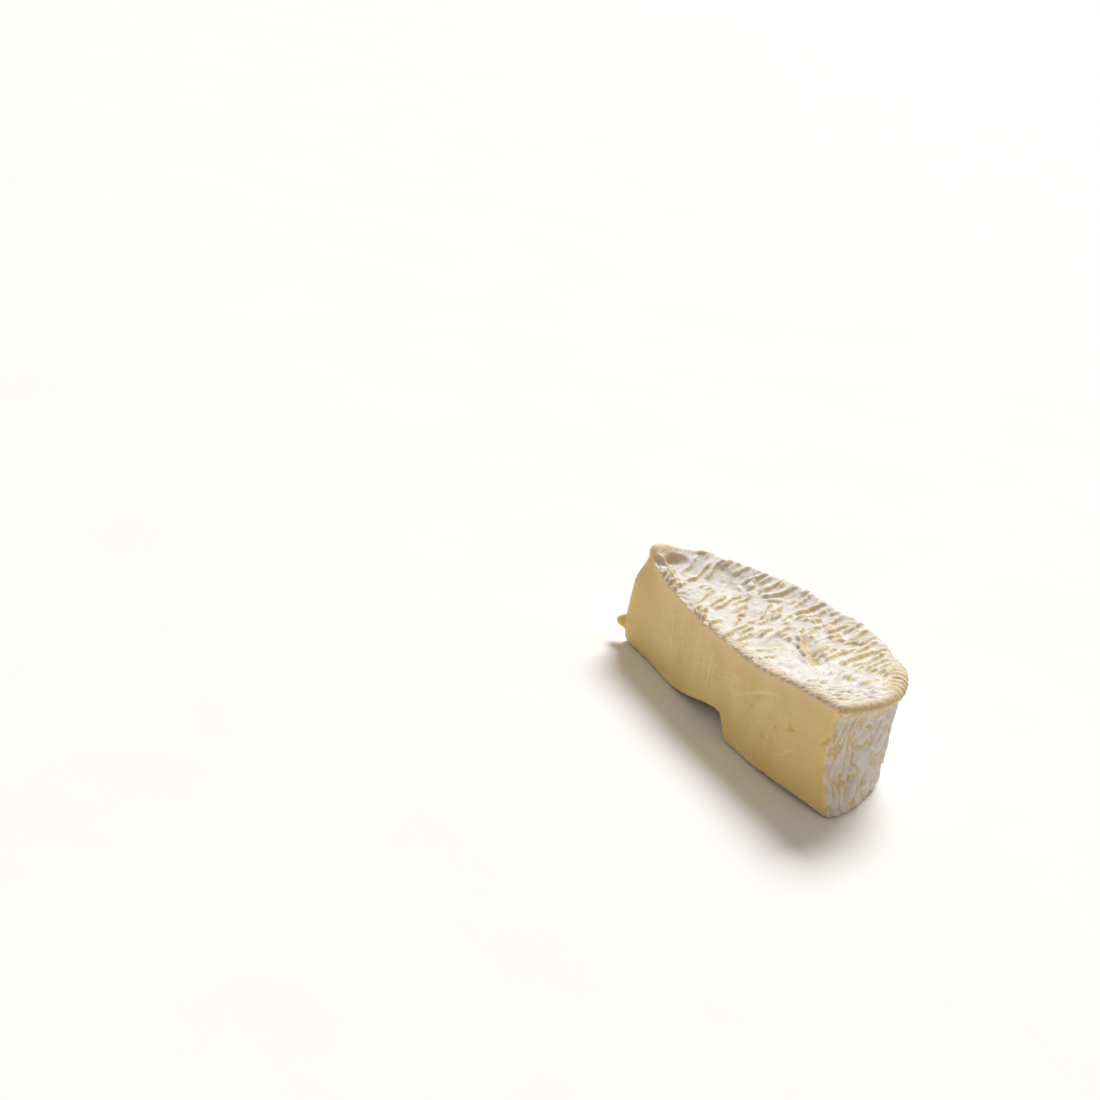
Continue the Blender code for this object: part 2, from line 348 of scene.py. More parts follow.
    def cut_bulge(self, x: Array, level: Array) -> Array:
        """How far the cut stands out in front of its plane.

        Args:
            x: Places along the cut.
            level: 0 at the foot and 1 at the top.

        Returns:
            One distance for each place.
        """
        chord = self.wheel.half_chord
        along = np.minimum(np.abs(x) / chord, 1.0)
        bulge = self.bulge_foot + (self.bulge_top - self.bulge_foot) * level
        out = bulge * (1 - along * along) ** 0.6
        tuck = self.right_tuck * ease(0.5, 1.0, level) * ease(self.rise_from, self.rise_to, x)
        out *= 1 - tuck
        slump = 0.2 + 0.8 * (1 - ease(0.6, 1.05, level)) - 0.35 * (1 - ease(0.0, 0.25, level))
        out += self.left_bulge * slump * hump((x + chord) / self.left_reach)
        out -= self.foot_tuck * (1 - ease(0.0, 0.6, level)) * hump((x - chord) / self.foot_reach)
        return out + self.wave_height * grain(x, 0.2, level * self.wheel.height, self.wave_size)

    def settle(self, x: Array, y: Array, z: Array) -> Array:
        """Where points of the plain half wheel come to lie in the frame.

        Args:
            x: Places along the cut.
            y: Places behind the cut.
            z: Heights.

        Returns:
            One row of three coordinates for each point.
        """
        wheel = self.wheel
        radius, angle = wheel.radius_at(x, y), wheel.angle_at(x, y)
        level = z / wheel.height
        rim = ease(wheel.radius - self.rim_reach, wheel.radius, radius)
        out = self.rim_growth(angle) * rim * ease(0.0, 0.5, level)
        lip = hump((level - self.lip_level) / self.lip_levels)
        out += self.lip_overhang * self.lip_strength(angle) * rim * lip
        out += self.foot_flare.at(angle) * rim * (1 - ease(0.0, 0.5, level))
        stretch = 1 + out / np.maximum(radius, 0.01)
        foot = self.foot_height(x, y)
        height = foot + (self.top_height(x, y) - foot) * level
        ahead = self.cut_bulge(x, level) * (1 - ease(0.0, self.bulge_reach, y))
        ear = hump(np.hypot(x + wheel.half_chord, y) / self.ear_reach) * ease(0.6, 1.0, level)
        tuck = self.ear_tuck * ear
        east = x * stretch + tuck
        behind = (y + wheel.cut_past_centre) * stretch - wheel.cut_past_centre
        north = behind - ahead + 0.4 * tuck - wheel.origin_behind_cut
        return np.stack((east, north, height - 0.6 * tuck), axis=-1)


@dataclass
class PlainHalf:
    """The half wheel before it settled: a turned block, cut, rounded and evenly meshed."""

    wheel: Wheel = Wheel()
    sides: int = 256
    corner_round: float = 0.0014
    rim_top_round: float = 0.0026
    rim_foot_round: float = 0.0022
    cut_top_round: float = 0.0019
    cut_foot_round: float = 0.0018
    bevel_steps: int = 4
    voxel: float = 0.00094
    fringe: float = 0.0040

    def make(self, name: str) -> bpy.types.Object:
        """Builds the block.

        Args:
            name: The piece's name.

        Returns:
            The new object, at the origin.
        """
        wheel = self.wheel
        bpy.ops.object.select_all(action="DESELECT")
        bpy.ops.mesh.primitive_cylinder_add(
            vertices=self.sides,
            radius=wheel.radius,
            depth=wheel.height,
            location=(0.0, -wheel.cut_past_centre, wheel.height / 2),
        )
        piece = bpy.context.object
        piece.name = piece.data.name = name
        bpy.ops.object.transform_apply(location=True, rotation=True, scale=True)
        bpy.ops.object.mode_set(mode="EDIT")
        bpy.ops.mesh.select_all(action="SELECT")
        bpy.ops.mesh.bisect(
            plane_co=(0.0, 0.0, 0.0), plane_no=(0.0, 1.0, 0.0), use_fill=True, clear_inner=True
        )
        bpy.ops.object.mode_set(mode="OBJECT")
        self.round_edges(piece)
        self.mesh_evenly(piece)
        return piece

    def round_edges(self, piece: bpy.types.Object) -> None:
        """Bevels the corners, then the rim's and the cut's edges, each by its own radius.

        Args:
            piece: The cut block.
        """
        top = self.wheel.height
        flat, near = 1e-5, self.corner_round + 1e-4

        def on_cut(a: Vector, b: Vector) -> bool:
            """Whether an edge runs along the cut."""
            return a.y < flat and b.y < flat

        def level(a: Vector, b: Vector, height: float) -> bool:
            """Whether an edge lies at this height."""
            return abs(a.z - height) < flat and abs(b.z - height) < flat

        self.bevel(piece, self.corner_round, lambda a, b: on_cut(a, b) and abs(a.x - b.x) < flat)
        for height, rim_round, cut_round in (
            (top, self.rim_top_round, self.cut_top_round),
            (0.0, self.rim_foot_round, self.cut_foot_round),
        ):
            self.bevel(
                piece, rim_round, lambda a, b: level(a, b, height) and min(a.y, b.y) > near
            )
            self.bevel(
                piece, cut_round, lambda a, b: level(a, b, height) and max(a.y, b.y) < near
            )

    @staticmethod
    def unselect(mesh: bpy.types.Mesh) -> None:
        """Clears the selection of points, edges and faces."""
        for part in (mesh.vertices, mesh.edges, mesh.polygons):
            part.foreach_set("select", [False] * len(part))

    def bevel(
        self, piece: bpy.types.Object, radius: float, chosen: Callable[[Vector, Vector], bool]
    ) -> None:
        """Rounds the edges that a test on their two ends picks.

        Args:
            piece: The object to round.
            radius: The radius of the new edge.
            chosen: The test, which takes the two ends of an edge.
        """
        mesh = piece.data
        self.unselect(mesh)
        for edge in mesh.edges:
            a, b = (mesh.vertices[index].co for index in edge.vertices)
            edge.select = chosen(a, b)
        bpy.ops.object.mode_set(mode="EDIT")
        bpy.ops.mesh.select_mode(type="EDGE")
        bpy.ops.mesh.bevel(offset=radius, segments=self.bevel_steps, profile=0.5, clamp_overlap=True)
        bpy.ops.object.mode_set(mode="OBJECT")

    def mesh_evenly(self, piece: bpy.types.Object) -> None:
        """Gives the block an even mesh: finer on the cut and the side, and the finest on top.

        Args:
            piece: The rounded block.
        """
        remesh = piece.modifiers.new("even", "REMESH")
        remesh.mode = "VOXEL"
        remesh.voxel_size = self.voxel
        bpy.ops.object.modifier_apply(modifier=remesh.name)
        mesh = piece.data
        for cuts in (2, 1):
            self.unselect(mesh)
            for face in mesh.polygons:
                at_cut = face.center.y < self.cut_top_round
                fine_depth = self.fringe if at_cut else 0.3 * self.rim_top_round
                on_top = face.center.z > self.wheel.height - fine_depth
                under = face.center.z < 0.5 * self.rim_foot_round and face.normal.z < -0.9
                face.select = on_top if cuts == 2 else not (on_top or under)
            bpy.ops.object.mode_set(mode="EDIT")
            bpy.ops.mesh.select_mode(type="FACE")
            bpy.ops.mesh.subdivide(number_cuts=cuts, smoothness=0.0)
            bpy.ops.object.mode_set(mode="OBJECT")
        bpy.ops.object.mode_set(mode="EDIT")
        bpy.ops.mesh.select_all(action="SELECT")
        bpy.ops.mesh.vertices_smooth(factor=0.5, repeat=2)
        bpy.ops.object.mode_set(mode="OBJECT")


@dataclass(frozen=True)
class Fold(Line):
    """One fold of the rind's skin, in millimetres, from its rim end to its cut end."""

    width: float = 1.5
    height: float = 0.6
    worn: float = 0.8
    bow: float = 0.0

    @property
    def middle(self) -> Array:
        """The point halfway along it."""
        return (np.array(self.start) + np.array(self.end)) / 2

    def profile(self, x: Array, y: Array) -> tuple[Array, Array]:
        """Height and wear of the fold.

        Args:
            x: Places along the cut, in millimetres.
            y: Places behind the cut, in millimetres.

        Returns:
            The heights in millimetres, and the wear from 0 to 1.
        """
        length = self.length
        gone, left = self.measure(x, y)
        share = np.clip(gone / length, 0.0, 1.0)
        swell = ease(0.0, 0.55, share)
        to_end = (length - gone) / self.width
        tip = np.clip(to_end, 0.0, 1.0)
        half = self.width * (0.35 + 0.15 * swell) * np.sqrt(tip * (2 - tip) + 1e-4)
        place = (left - 4 * self.bow * share * (1 - share)) / half
        west = np.clip((place + 1.8) / 1.5, 0, 1) ** 1.7
        east_drop = (1 - np.clip((place + 0.3) / 1.5, 0, 1) ** 2.6) ** 0.8
        ends = ease(0.0, 0.30, share) * ease(0.0, 1.5, to_end)
        height = 1.35 * self.height * (0.45 + 0.55 * swell) * west * east_drop * ends
        bared = ease(-0.35, 0.75, place) * (1 - ease(0.95, 1.45, place))
        worn = self.worn * bared * ease(0.0, 0.35, share) * ease(0.1, 1.3, to_end)
        return height, worn


@dataclass(frozen=True)
class Lanes:
    """A set of ridges side by side, in millimetres, each fading in and out."""

    pitch: float
    height: float
    length: float
    pattern: float

    def read(self, across: Array, along: Array, warp: Array) -> tuple[Array, Array]:
        """Height and wear of the ridges, each with its west crest, worn back and steep east side.

        Args:
            across: Places across them, in millimetres.
            along: Places along them, in millimetres.
            warp: How far each place strays, in pitches.

        Returns:
            The heights in millimetres, and the wear from 0 to 1.
        """
        phase = across / self.pitch + warp
        lane = np.floor(phase)
        gone = phase - lane
        stretch = along / self.length
        here, after = (
            ease(-0.12, 0.32, grain(9.7 * index, stretch, 0.3 + self.pattern, 1.0))
            for index in (lane, lane + 1)
        )
        rise = np.clip((gone - 0.40) / 0.60, 0, 1) ** 2
        height = here * (1 - np.clip(gone / 0.52, 0, 1) ** 2.2) ** 0.8 + after * rise
        return self.height * height, here * ease(0.03, 0.26, gone) * (1 - ease(0.44, 0.54, gone))


@dataclass(frozen=True)
class Ledge(Line):
    """A toothed step in the top, in millimetres, worn above and hollow below."""

    start: tuple[float, float] = (-3.0, 26.2)
    end: tuple[float, float] = (19.6, 19.8)
    width: float = 3.8
    drop: float = 0.60
    tooth: float = 3.3
    skew: float = 0.55

    def read(self, x: Array, y: Array) -> tuple[Array, Array, Array]:
        """Height, wear and shade of the step.

        Args:
            x: Places along the cut, in millimetres.
            y: Places behind the cut, in millimetres.

        Returns:
            The heights in millimetres, then the wear and the shade from 0 to 1.
        """
        length = self.length
        gone, left = self.measure(x, y)
        down = 0.5 * grain(gone, 0.3, 0.1, 5.0) - left
        phase = (gone - self.skew * down) / self.tooth + 0.7 * grain(gone, 0.6, 0.2, 4.0)
        share = np.abs(2 * (phase - np.floor(phase)) - 1)
        foot = self.width * (0.85 + 0.14 * (1 - share**2) + 0.35 * grain(gone, 0.9, 0.4, 3.0))
        here = ease(0.0, 4.0, gone) * (1 - ease(length - 4.0, length, gone))
        band = ease(-0.4, 0.3, down) * (1 - ease(foot - 0.35, foot + 0.15, down))
        below = ease(foot - 0.3, foot + 0.7, down)
        fall = self.drop * below * (1 - ease(1.0, 5.5, down - foot))
        height = here * (0.18 * band * (1 - share**3) - fall)
        worn = here * band * (1 - 0.15 * ease(0.5, 1.0, share)) * ease(-0.3, 2.6, down)
        return height, worn, here * below * (1 - ease(0.8, 3.4, down - foot))


@dataclass(frozen=True)
class Region:
    """A stretch of the top, in millimetres, and the folds that fill it."""

    tries: int
    x: tuple[float, float]
    y: tuple[float, float]
    inside: tuple[float, float]
    width: tuple[float, float]
    length: tuple[float, float]
    worn: tuple[float, float]
    turn: float
    bow: float
    rise: float
    gap: float


@dataclass
class MatFolds:
    """The folds that a straw mat left on the top, and what they do to its relief and wear."""

    wheel: Wheel = Wheel()
    seed: int = 11
    start: float = 44.0
    slant: float = 0.36
    bend: float = 0.0085
    level: float = 0.55
    corner: tuple[float, float] = (28.0, 56.0)
    corner_slant: float = 0.19
    straws: Lanes = Lanes(2.60, 0.95, 5.2, 0.0)
    fibres: Lanes = Lanes(1.35, 0.42, 3.6, 5.0)
    regions: tuple[Region, ...] = (
        Region(500, (22, 48), (16, 42), (-1, 5), (0.9, 1.3), (5, 10), (0.6, 1), 0.05, 0.3, 0.42, 0.25),
        Region(400, (39, 54), (0, 16), (1.5, 40), (0.5, 0.9), (4, 9), (0, 0.5), 0.08, 0.3, 0.40, 0.30),
        Region(1800, (-54, 34), (20, 48), (-1, 40), (1.3, 2.2), (5, 11), (0.5, 1), 0.10, 0.7, 0.44, 0.55),
    )
    placed: tuple[Fold, ...] = (
        Fold((-46.5, 27.5), (-43.6, 17.0), 1.9, 0.8, 0.8),
        Fold((-48.0, 22.5), (-49.4, 11.5), 2.1, 0.8, 0.9),
        Fold((-42.6, 31.0), (-38.8, 19.5), 1.5, 0.6, 0.6),
        Fold((-38.8, 34.5), (-34.2, 20.8), 1.8, 0.8, 1.0, 0.4),
        Fold((-34.2, 37.5), (-29.2, 23.3), 1.7, 0.8, 0.9),
        Fold((-31.0, 40.5), (-25.6, 22.6), 1.8, 0.8, 0.9, 0.5),
        Fold((-24.8, 31.5), (-22.6, 22.4), 2.0, 0.7, 0.8),
        Fold((-25.2, 43.5), (-21.3, 32.0), 1.3, 0.5, 0.6),
        Fold((-20.6, 45.5), (-15.6, 28.6), 1.9, 0.9, 1.0),
        Fold((-18.0, 44.5), (-12.9, 30.3), 1.4, 0.6, 0.7),
        Fold((-13.6, 47.0), (-7.2, 32.4), 1.5, 0.7, 0.8),
        Fold((-9.6, 45.6), (-2.6, 31.8), 1.5, 0.8, 1.0),
        Fold((-7.0, 47.0), (-2.4, 37.3), 1.2, 0.6, 0.8),
        Fold((-4.0, 47.6), (3.6, 34.6), 2.1, 0.9, 1.0, 0.4),
        Fold((4.4, 47.0), (15.2, 20.9), 1.2, 0.7, 0.8, -1.2),
        Fold((9.4, 46.6), (19.2, 23.3), 1.9, 0.9, 1.0, -1.6),
        Fold((13.4, 45.4), (20.2, 28.0), 1.7, 0.8, 0.9, -0.8),
        Fold((16.6, 43.0), (23.8, 28.6), 1.6, 0.8, 0.8, -0.5),
        Fold((20.0, 42.6), (25.4, 31.6), 1.4, 0.6, 0.8, -0.3),
        Fold((-8.3, 24.4), (-0.8, 13.9), 1.8, 0.9, 0.9, -0.7),
        Fold((-4.9, 25.6), (-1.2, 20.6), 1.5, 0.6, 0.8),
        Fold((-18.6, 21.9), (-9.6, 12.3), 1.7, 0.8, 0.9, 1.0),
        Fold((-25.0, 17.2), (-16.0, 8.9), 2.3, 0.9, 0.9, 1.0),
        Fold((-6.7, 16.0), (-3.0, 10.4), 1.8, 0.7, 0.8),
        Fold((-38.8, 5.2), (-35.0, -1.6), 1.5, 0.7, 0.9, 0.5),
        Fold((-36.4, 6.4), (-31.0, -2.4), 1.4, 0.8, 0.9, 0.5),
        Fold((-43.6, 6.6), (-49.6, 1.2), 1.2, 0.6, 0.2, 0.6),
        Fold((8.0, 9.4), (10.0, 3.4), 1.5, 0.6, 0.8),
        Fold((10.8, 10.4), (15.6, 3.2), 1.3, 0.7, 0.8),
        Fold((25.2, 40.6), (29.9, 31.2), 1.5, 0.7, 0.8, -0.4),
        Fold((29.6, 38.0), (39.2, 23.4), 1.5, 0.7, 0.8, -0.8),
        Fold((35.2, 34.0), (42.2, 21.2), 1.5, 0.7, 0.9, -0.7),
    )
    bare: tuple[Oval, ...] = (
        Oval(-34.0, 15.0, 5.5, 4.5),
        Oval(28.5, 28.0, 3.0, 5.0),
        Oval(6.0, 15.0, 6.5, 4.0),
        Oval(2.0, 29.0, 5.5, 3.0),
        Oval(13.5, 16.0, 5.0, 3.0),
        Oval(-47.5, 4.0, 4.5, 4.5),
    )
    ledge: Ledge = Ledge()
    lift: float = 1.1
    folds: list[Fold] = field(default_factory=list)

    def lie(self, x: float, y: float) -> float:
        """Which way the folds run at a place.

        Args:
            x: The place along the cut, in millimetres.
            y: The place behind the cut, in millimetres.

        Returns:
            The angle from +X in radians, pointing from the rim to the cut.
        """
        run = abs(self.start - y)
        bent = math.atan2(-1.0, self.slant + 2 * self.bend * run)
        share = float(ease(*self.corner, np.array(x - 0.25 * y)))
        return bent + (math.radians(-101) - bent) * share

    def across(self, east: Array, north: Array) -> Array:
        """Under which straw of the mat each place lies.

        Args:
            east: Places along the cut, in millimetres.
            north: Places behind the cut, in millimetres.

        Returns:
            Millimetres across the straws, the same all along one straw.
        """
        run = self.start - north
        share = ease(*self.corner, east - 0.25 * north)
        return east - run * ((1 - share) * (self.slant + self.bend * run) - share * self.corner_slant)

    def lanes(self, east: Array, north: Array) -> tuple[Array, Array]:
        """The ridges that the straws left side by side, each fading in and out.

        Args:
            east: Places along the cut, in millimetres.
            north: Places behind the cut, in millimetres.

        Returns:
            The heights in millimetres, and the wear from 0 to 1.
        """
        near = 1 - ease(0.25, 1.0, (north + 1) / 11.0)
        wide = grain(east, north, 0.7, 6.0)
        small = grain(east, north, 1.3, 2.4)
        across = self.across(east, north)
        right = ease(0.0, 14.0, east) * (1 - ease(18.0, 28.0, north))
        knob = ease(26.0, 34.0, east) * ease(18.0, 26.0, north)
        knob *= 1 - ease(5.0, 8.0, self.inside(east, north))
        corner = ease(24.0, 36.0, east) * (1 - ease(9.0, 15.0, north))
        stray = (0.34 - 0.22 * corner) * wide + (0.14 + 0.08 * near) * (1 - 0.7 * corner) * small
        height, worn = self.straws.read(across, north, stray)
        stray = (0.45 - 0.30 * corner) * wide + (0.28 - 0.20 * corner) * small
        fine, fine_worn = self.fibres.read(across, north, stray)
        open_share = np.ones_like(east)
        for patch in self.bare:
            open_share = np.minimum(open_share, 0.3 + 0.7 * ease(0.5, 1.3, patch.away(east, north)))
        height *= open_share * (1 - 0.25 * right) * (1 - 0.85 * knob) * (1 + 0.35 * near)
        worn *= open_share * (0.95 - 0.75 * right * (1 - 0.45 * corner)) * (1 - 0.85 * knob)
        share = np.maximum(0.30 + 0.7 * right, 1.2 * knob) * (0.4 + 0.6 * open_share)
        height = height + share * (1 - 0.75 * corner) * fine
        return height, np.maximum(worn, (0.45 + 0.25 * knob - 0.2 * right) * fine_worn * open_share)

    def inside(self, east: Array, north: Array) -> Array:
        """How far each place lies inside the rim, all in millimetres."""
        return (self.wheel.radius - self.wheel.radius_at(east * MM, north * MM)) / MM

    def lay(self) -> None:
        """Places the folds seen one by one, then packs others between them."""
        draw = random.Random(self.seed)
        self.folds = list(self.placed)
        for region in self.regions:
            self.pack(region, draw)

    def clearance(self, fold: Fold) -> float:
        """The gap between a fold's line and the edges of the folds already there.

        Args:
            fold: The fold that looks for room.

        Returns:
            The smallest gap, in millimetres.
        """
        starts = np.array([other.start for other in self.folds])
        axes = np.array([other.end for other in self.folds]) - starts
        halves = np.array([other.width for other in self.folds]) / 2
        shares = np.linspace(0.1, 0.9, 5)[:, None]
        points = np.array(fold.start) * (1 - shares) + np.array(fold.end) * shares
        offsets = points[:, None, :] - starts
        along = np.clip((offsets * axes).sum(2) / (axes * axes).sum(1), 0, 1)
        gaps = np.hypot(*np.moveaxis(offsets - along[..., None] * axes, 2, 0)) - halves
        return float(gaps.min())

    @staticmethod
    def fold_at(x: float, y: float, angle: float, length: float, **looks: float) -> Fold:
        """Describes a fold by its middle.

        Args:
            x: Its middle along the cut, in millimetres.
            y: Its middle behind the cut, in millimetres.
            angle: The way it runs, in radians.
            length: Its length in millimetres.
            **looks: Its width, height, wear and bow.

        Returns:
            The fold.
        """
        east, north = math.cos(angle) * length / 2, math.sin(angle) * length / 2
        return Fold((x - east, y - north), (x + east, y + north), **looks)

    def pack(self, region: Region, draw: random.Random) -> None:
        """Packs folds at random over one stretch of the top.

        Args:
            region: The stretch, and what its folds are like.
            draw: Where the random numbers come from.
        """
        for _ in range(region.tries):
            x, y = draw.uniform(*region.x), draw.uniform(*region.y)
            width = draw.uniform(*region.width)
            fold = self.fold_at(
                x,
                y,
                self.lie(x, y) + draw.gauss(0, region.turn),
                draw.uniform(*region.length),
                width=width,
                height=region.rise * width * draw.uniform(0.75, 1.25),
                worn=draw.uniform(*region.worn),
                bow=draw.uniform(-region.bow, region.bow),
            )
            if any(patch.away(x, y) < 1 for patch in self.bare):
                continue
            if not region.inside[0] < self.inside(x, y) < region.inside[1]:
                continue
            if self.clearance(fold) - width / 2 > region.gap:
                self.folds.append(fold)

    def read(self, x: Array, y: Array) -> tuple[Array, Array, Array]:
        """Height, wear and shade of all the folds together.

        Args:
            x: Places along the cut.
            y: Places behind the cut.

        Returns:
            The heights in metres about the settled top, then the wear and the shade from 0 to 1.
        """
        east = x / MM + 0.60 * grain(x, y, 0.011, 0.0040) + 0.16 * grain(x, y, 0.023, 0.0013)
        north = y / MM + 0.60 * grain(x, y, 0.017, 0.0040) + 0.16 * grain(x, y, 0.029, 0.0013)
        height, worn = np.zeros_like(x), np.zeros_like(x)
        for fold in self.folds:
            reach = math.dist(fold.start, fold.end) / 2 + 3 * fold.width
            near = np.nonzero(
                (np.abs(east - fold.middle[0]) < reach) & (np.abs(north - fold.middle[1]) < reach)
            )[0]
            if len(near):
                rise, wear = fold.profile(east[near], north[near])
                height[near] = np.maximum(height[near], rise)
                worn[near] = np.maximum(worn[near], wear)
        lane_height, lane_worn = self.lanes(east, north)
        crumple, hollow = self.crumple(x, y)
        near = 1 - ease(0.35, 1.0, (y / MM + 1) / (9.0 - 3.0 * ease(-14.0, 2.0, x / MM)))
        free = 1 - ease(0.15, 0.5, height)
        worn = np.maximum(worn, lane_worn * free)
        height = np.maximum(height, lane_height)
        swell = 0.30 * grain(x, y, 0.071, 0.0065)
        step, bared, shade = self.ledge.read(east, north)
        clear = 1 - 0.95 * np.maximum(bared, shade)
        height = height * clear - self.level + near * (0.30 * crumple) + swell + step
        worn = np.maximum(np.maximum(worn, 0.35 * near * hollow * free) * clear, 0.9 * bared)
        return self.lift * height * MM, worn, shade

    @staticmethod
    def crumple(x: Array, y: Array) -> tuple[Array, Array]:
        """The thin crossing creases of the crumpled strip behind the cut.

        Args:
            x: Places along the cut.
            y: Places behind the cut.

        Returns:
            The heights in millimetres, and the wear of the hollows between the creases.
        """
        east = x + 0.0010 * grain(x, y, 0.051, 0.0035)
        north = y + 0.0010 * grain(x, y, 0.053, 0.0035)
        skew = east + 0.55 * north
        wide = 1 - np.clip(np.abs(grain(skew, 0.7 * north, 0.057, 0.0034)) / 0.30, 0, 1)
        fine = 1 - np.clip(np.abs(grain(skew, 0.8 * north, 0.059, 0.0018)) / 0.34, 0, 1)
        height = 0.85 * wide**1.5 + 0.40 * fine**1.5 - 0.40
        hollow = (0.25 + 0.6 * grain(x, y, 0.061, 0.0045)) * (1 - ease(0.25, 0.8, wide))
        return height, np.clip(hollow + 0.15, 0, 1)


@dataclass(frozen=True)
class Mould:
    """The mould on the side: pale upright islands with worn, winding cracks between them."""

    wheel: Wheel = Wheel()
    cell_wide: float = 0.0033
    cell_high: float = 0.0074
    fine_wide: float = 0.0019
    fine_high: float = 0.0033
    small_share: float = 0.30
    crack_width: float = 0.155
    crack_spread: float = 0.10
    least_width: float = 0.025
    thickness: float = 0.00055
    furrow_wide: float = 0.0034
    furrow_high: float = 0.010
    furrow_depth: float = 0.00063
    crust_line: float = 0.0004
    crust_width: float = 0.0009
    scar: Oval = Oval(9.8, 24.3, 1.3, 0.6)
    band_level: float = 0.0285
    band_width: float = 0.0013

    def read(self, x: Array, y: Array, z: Array) -> tuple[Array, Array]:
        """Height and wear of the mould.

        Args:
            x: Places along the cut.
            y: Places behind the cut.
            z: Heights.

        Returns:
            The heights in metres, and the wear from 0 to 1.
        """
        arc = self.wheel.radius * np.radians(self.wheel.angle_at(x, y))
        wide = arc + 0.0020 * grain(arc, z, 0.013, 0.0060) + 0.0007 * grain(arc, z, 0.031, 0.0018)
        high = z + 0.0024 * grain(arc, z, 0.019, 0.0060) + 0.0008 * grain(arc, z, 0.037, 0.0018)
        large = grain(wide / self.cell_wide, high / self.cell_high, 0.4, 1.0)
        small = grain(wide / self.fine_wide, high / self.fine_high, 3.4, 1.0)
        hills = large + self.small_share * small + 0.05 * grain(arc, z, 0.051, 0.0009)
        width = self.crack_width + self.crack_spread * grain(arc, z, 0.083, 0.0050)
        away = np.abs(hills) / np.maximum(width, self.least_width)
        gap = np.maximum(1 - ease(0.55, 1.15, away), 0.70 * (1 - ease(-0.66, -0.50, hills)))
        rim = hump((away - 1.9) / 0.6)
        lumps = 0.40 * grain(arc, z, 0.061, 0.0024)
        height = self.thickness * (ease(0.3, 3.2, away) * ease(-0.62, -0.40, hills) + lumps - 0.6)
        wander = 0.5 * self.furrow_wide * grain(arc, z, 0.4, 0.006)
        furrow = grain((arc + wander) / self.furrow_wide, z / self.furrow_high, 1.7, 1.0)
        height += self.furrow_depth * furrow * ease(0.05, 0.2, z / self.wheel.height)
        edge = 0.0012 * grain(arc, 0.5, 0.3, 0.0040) + 0.0005 * grain(arc, 0.5, 0.3, 0.0013)
        band = hump((z - self.band_level + edge) / self.band_width)
        crust = hump((y - self.crust_line) / self.crust_width)
        crust *= 0.85 * ease(-0.3, 0.3, grain(arc, z, 0.071, 0.0016))
        scar = hump(self.scar.away(arc / MM, z / MM))
        under_lip = 1 - ease(self.band_level - 0.0020, self.band_level + 0.0006, z + edge)
        cracks = np.maximum(0.10 * rim + 0.92 * gap * under_lip, 0.80 * band)
        return height * under_lip, np.maximum(cracks, np.maximum(crust, 1.2 * scar))


@dataclass(frozen=True)
class Smear(Line):
    """A mark that the knife drew over the paste, in millimetres."""

    width: float
    height: float
    bow: float = 0.0

    def rise(self, x: Array, z: Array) -> Array:
        """Height of the mark.

        Args:
            x: Places along the cut, in millimetres.
            z: Heights, in millimetres.

        Returns:
            One height for each place, in millimetres.
        """
        gone, above = self.measure(x, z)
        along = gone / self.length
        taper = np.clip(4 * along * (1 - along), 0.0, None)
        return self.height * np.sqrt(taper) * hump((above - self.bow * taper) / (self.width / 2))


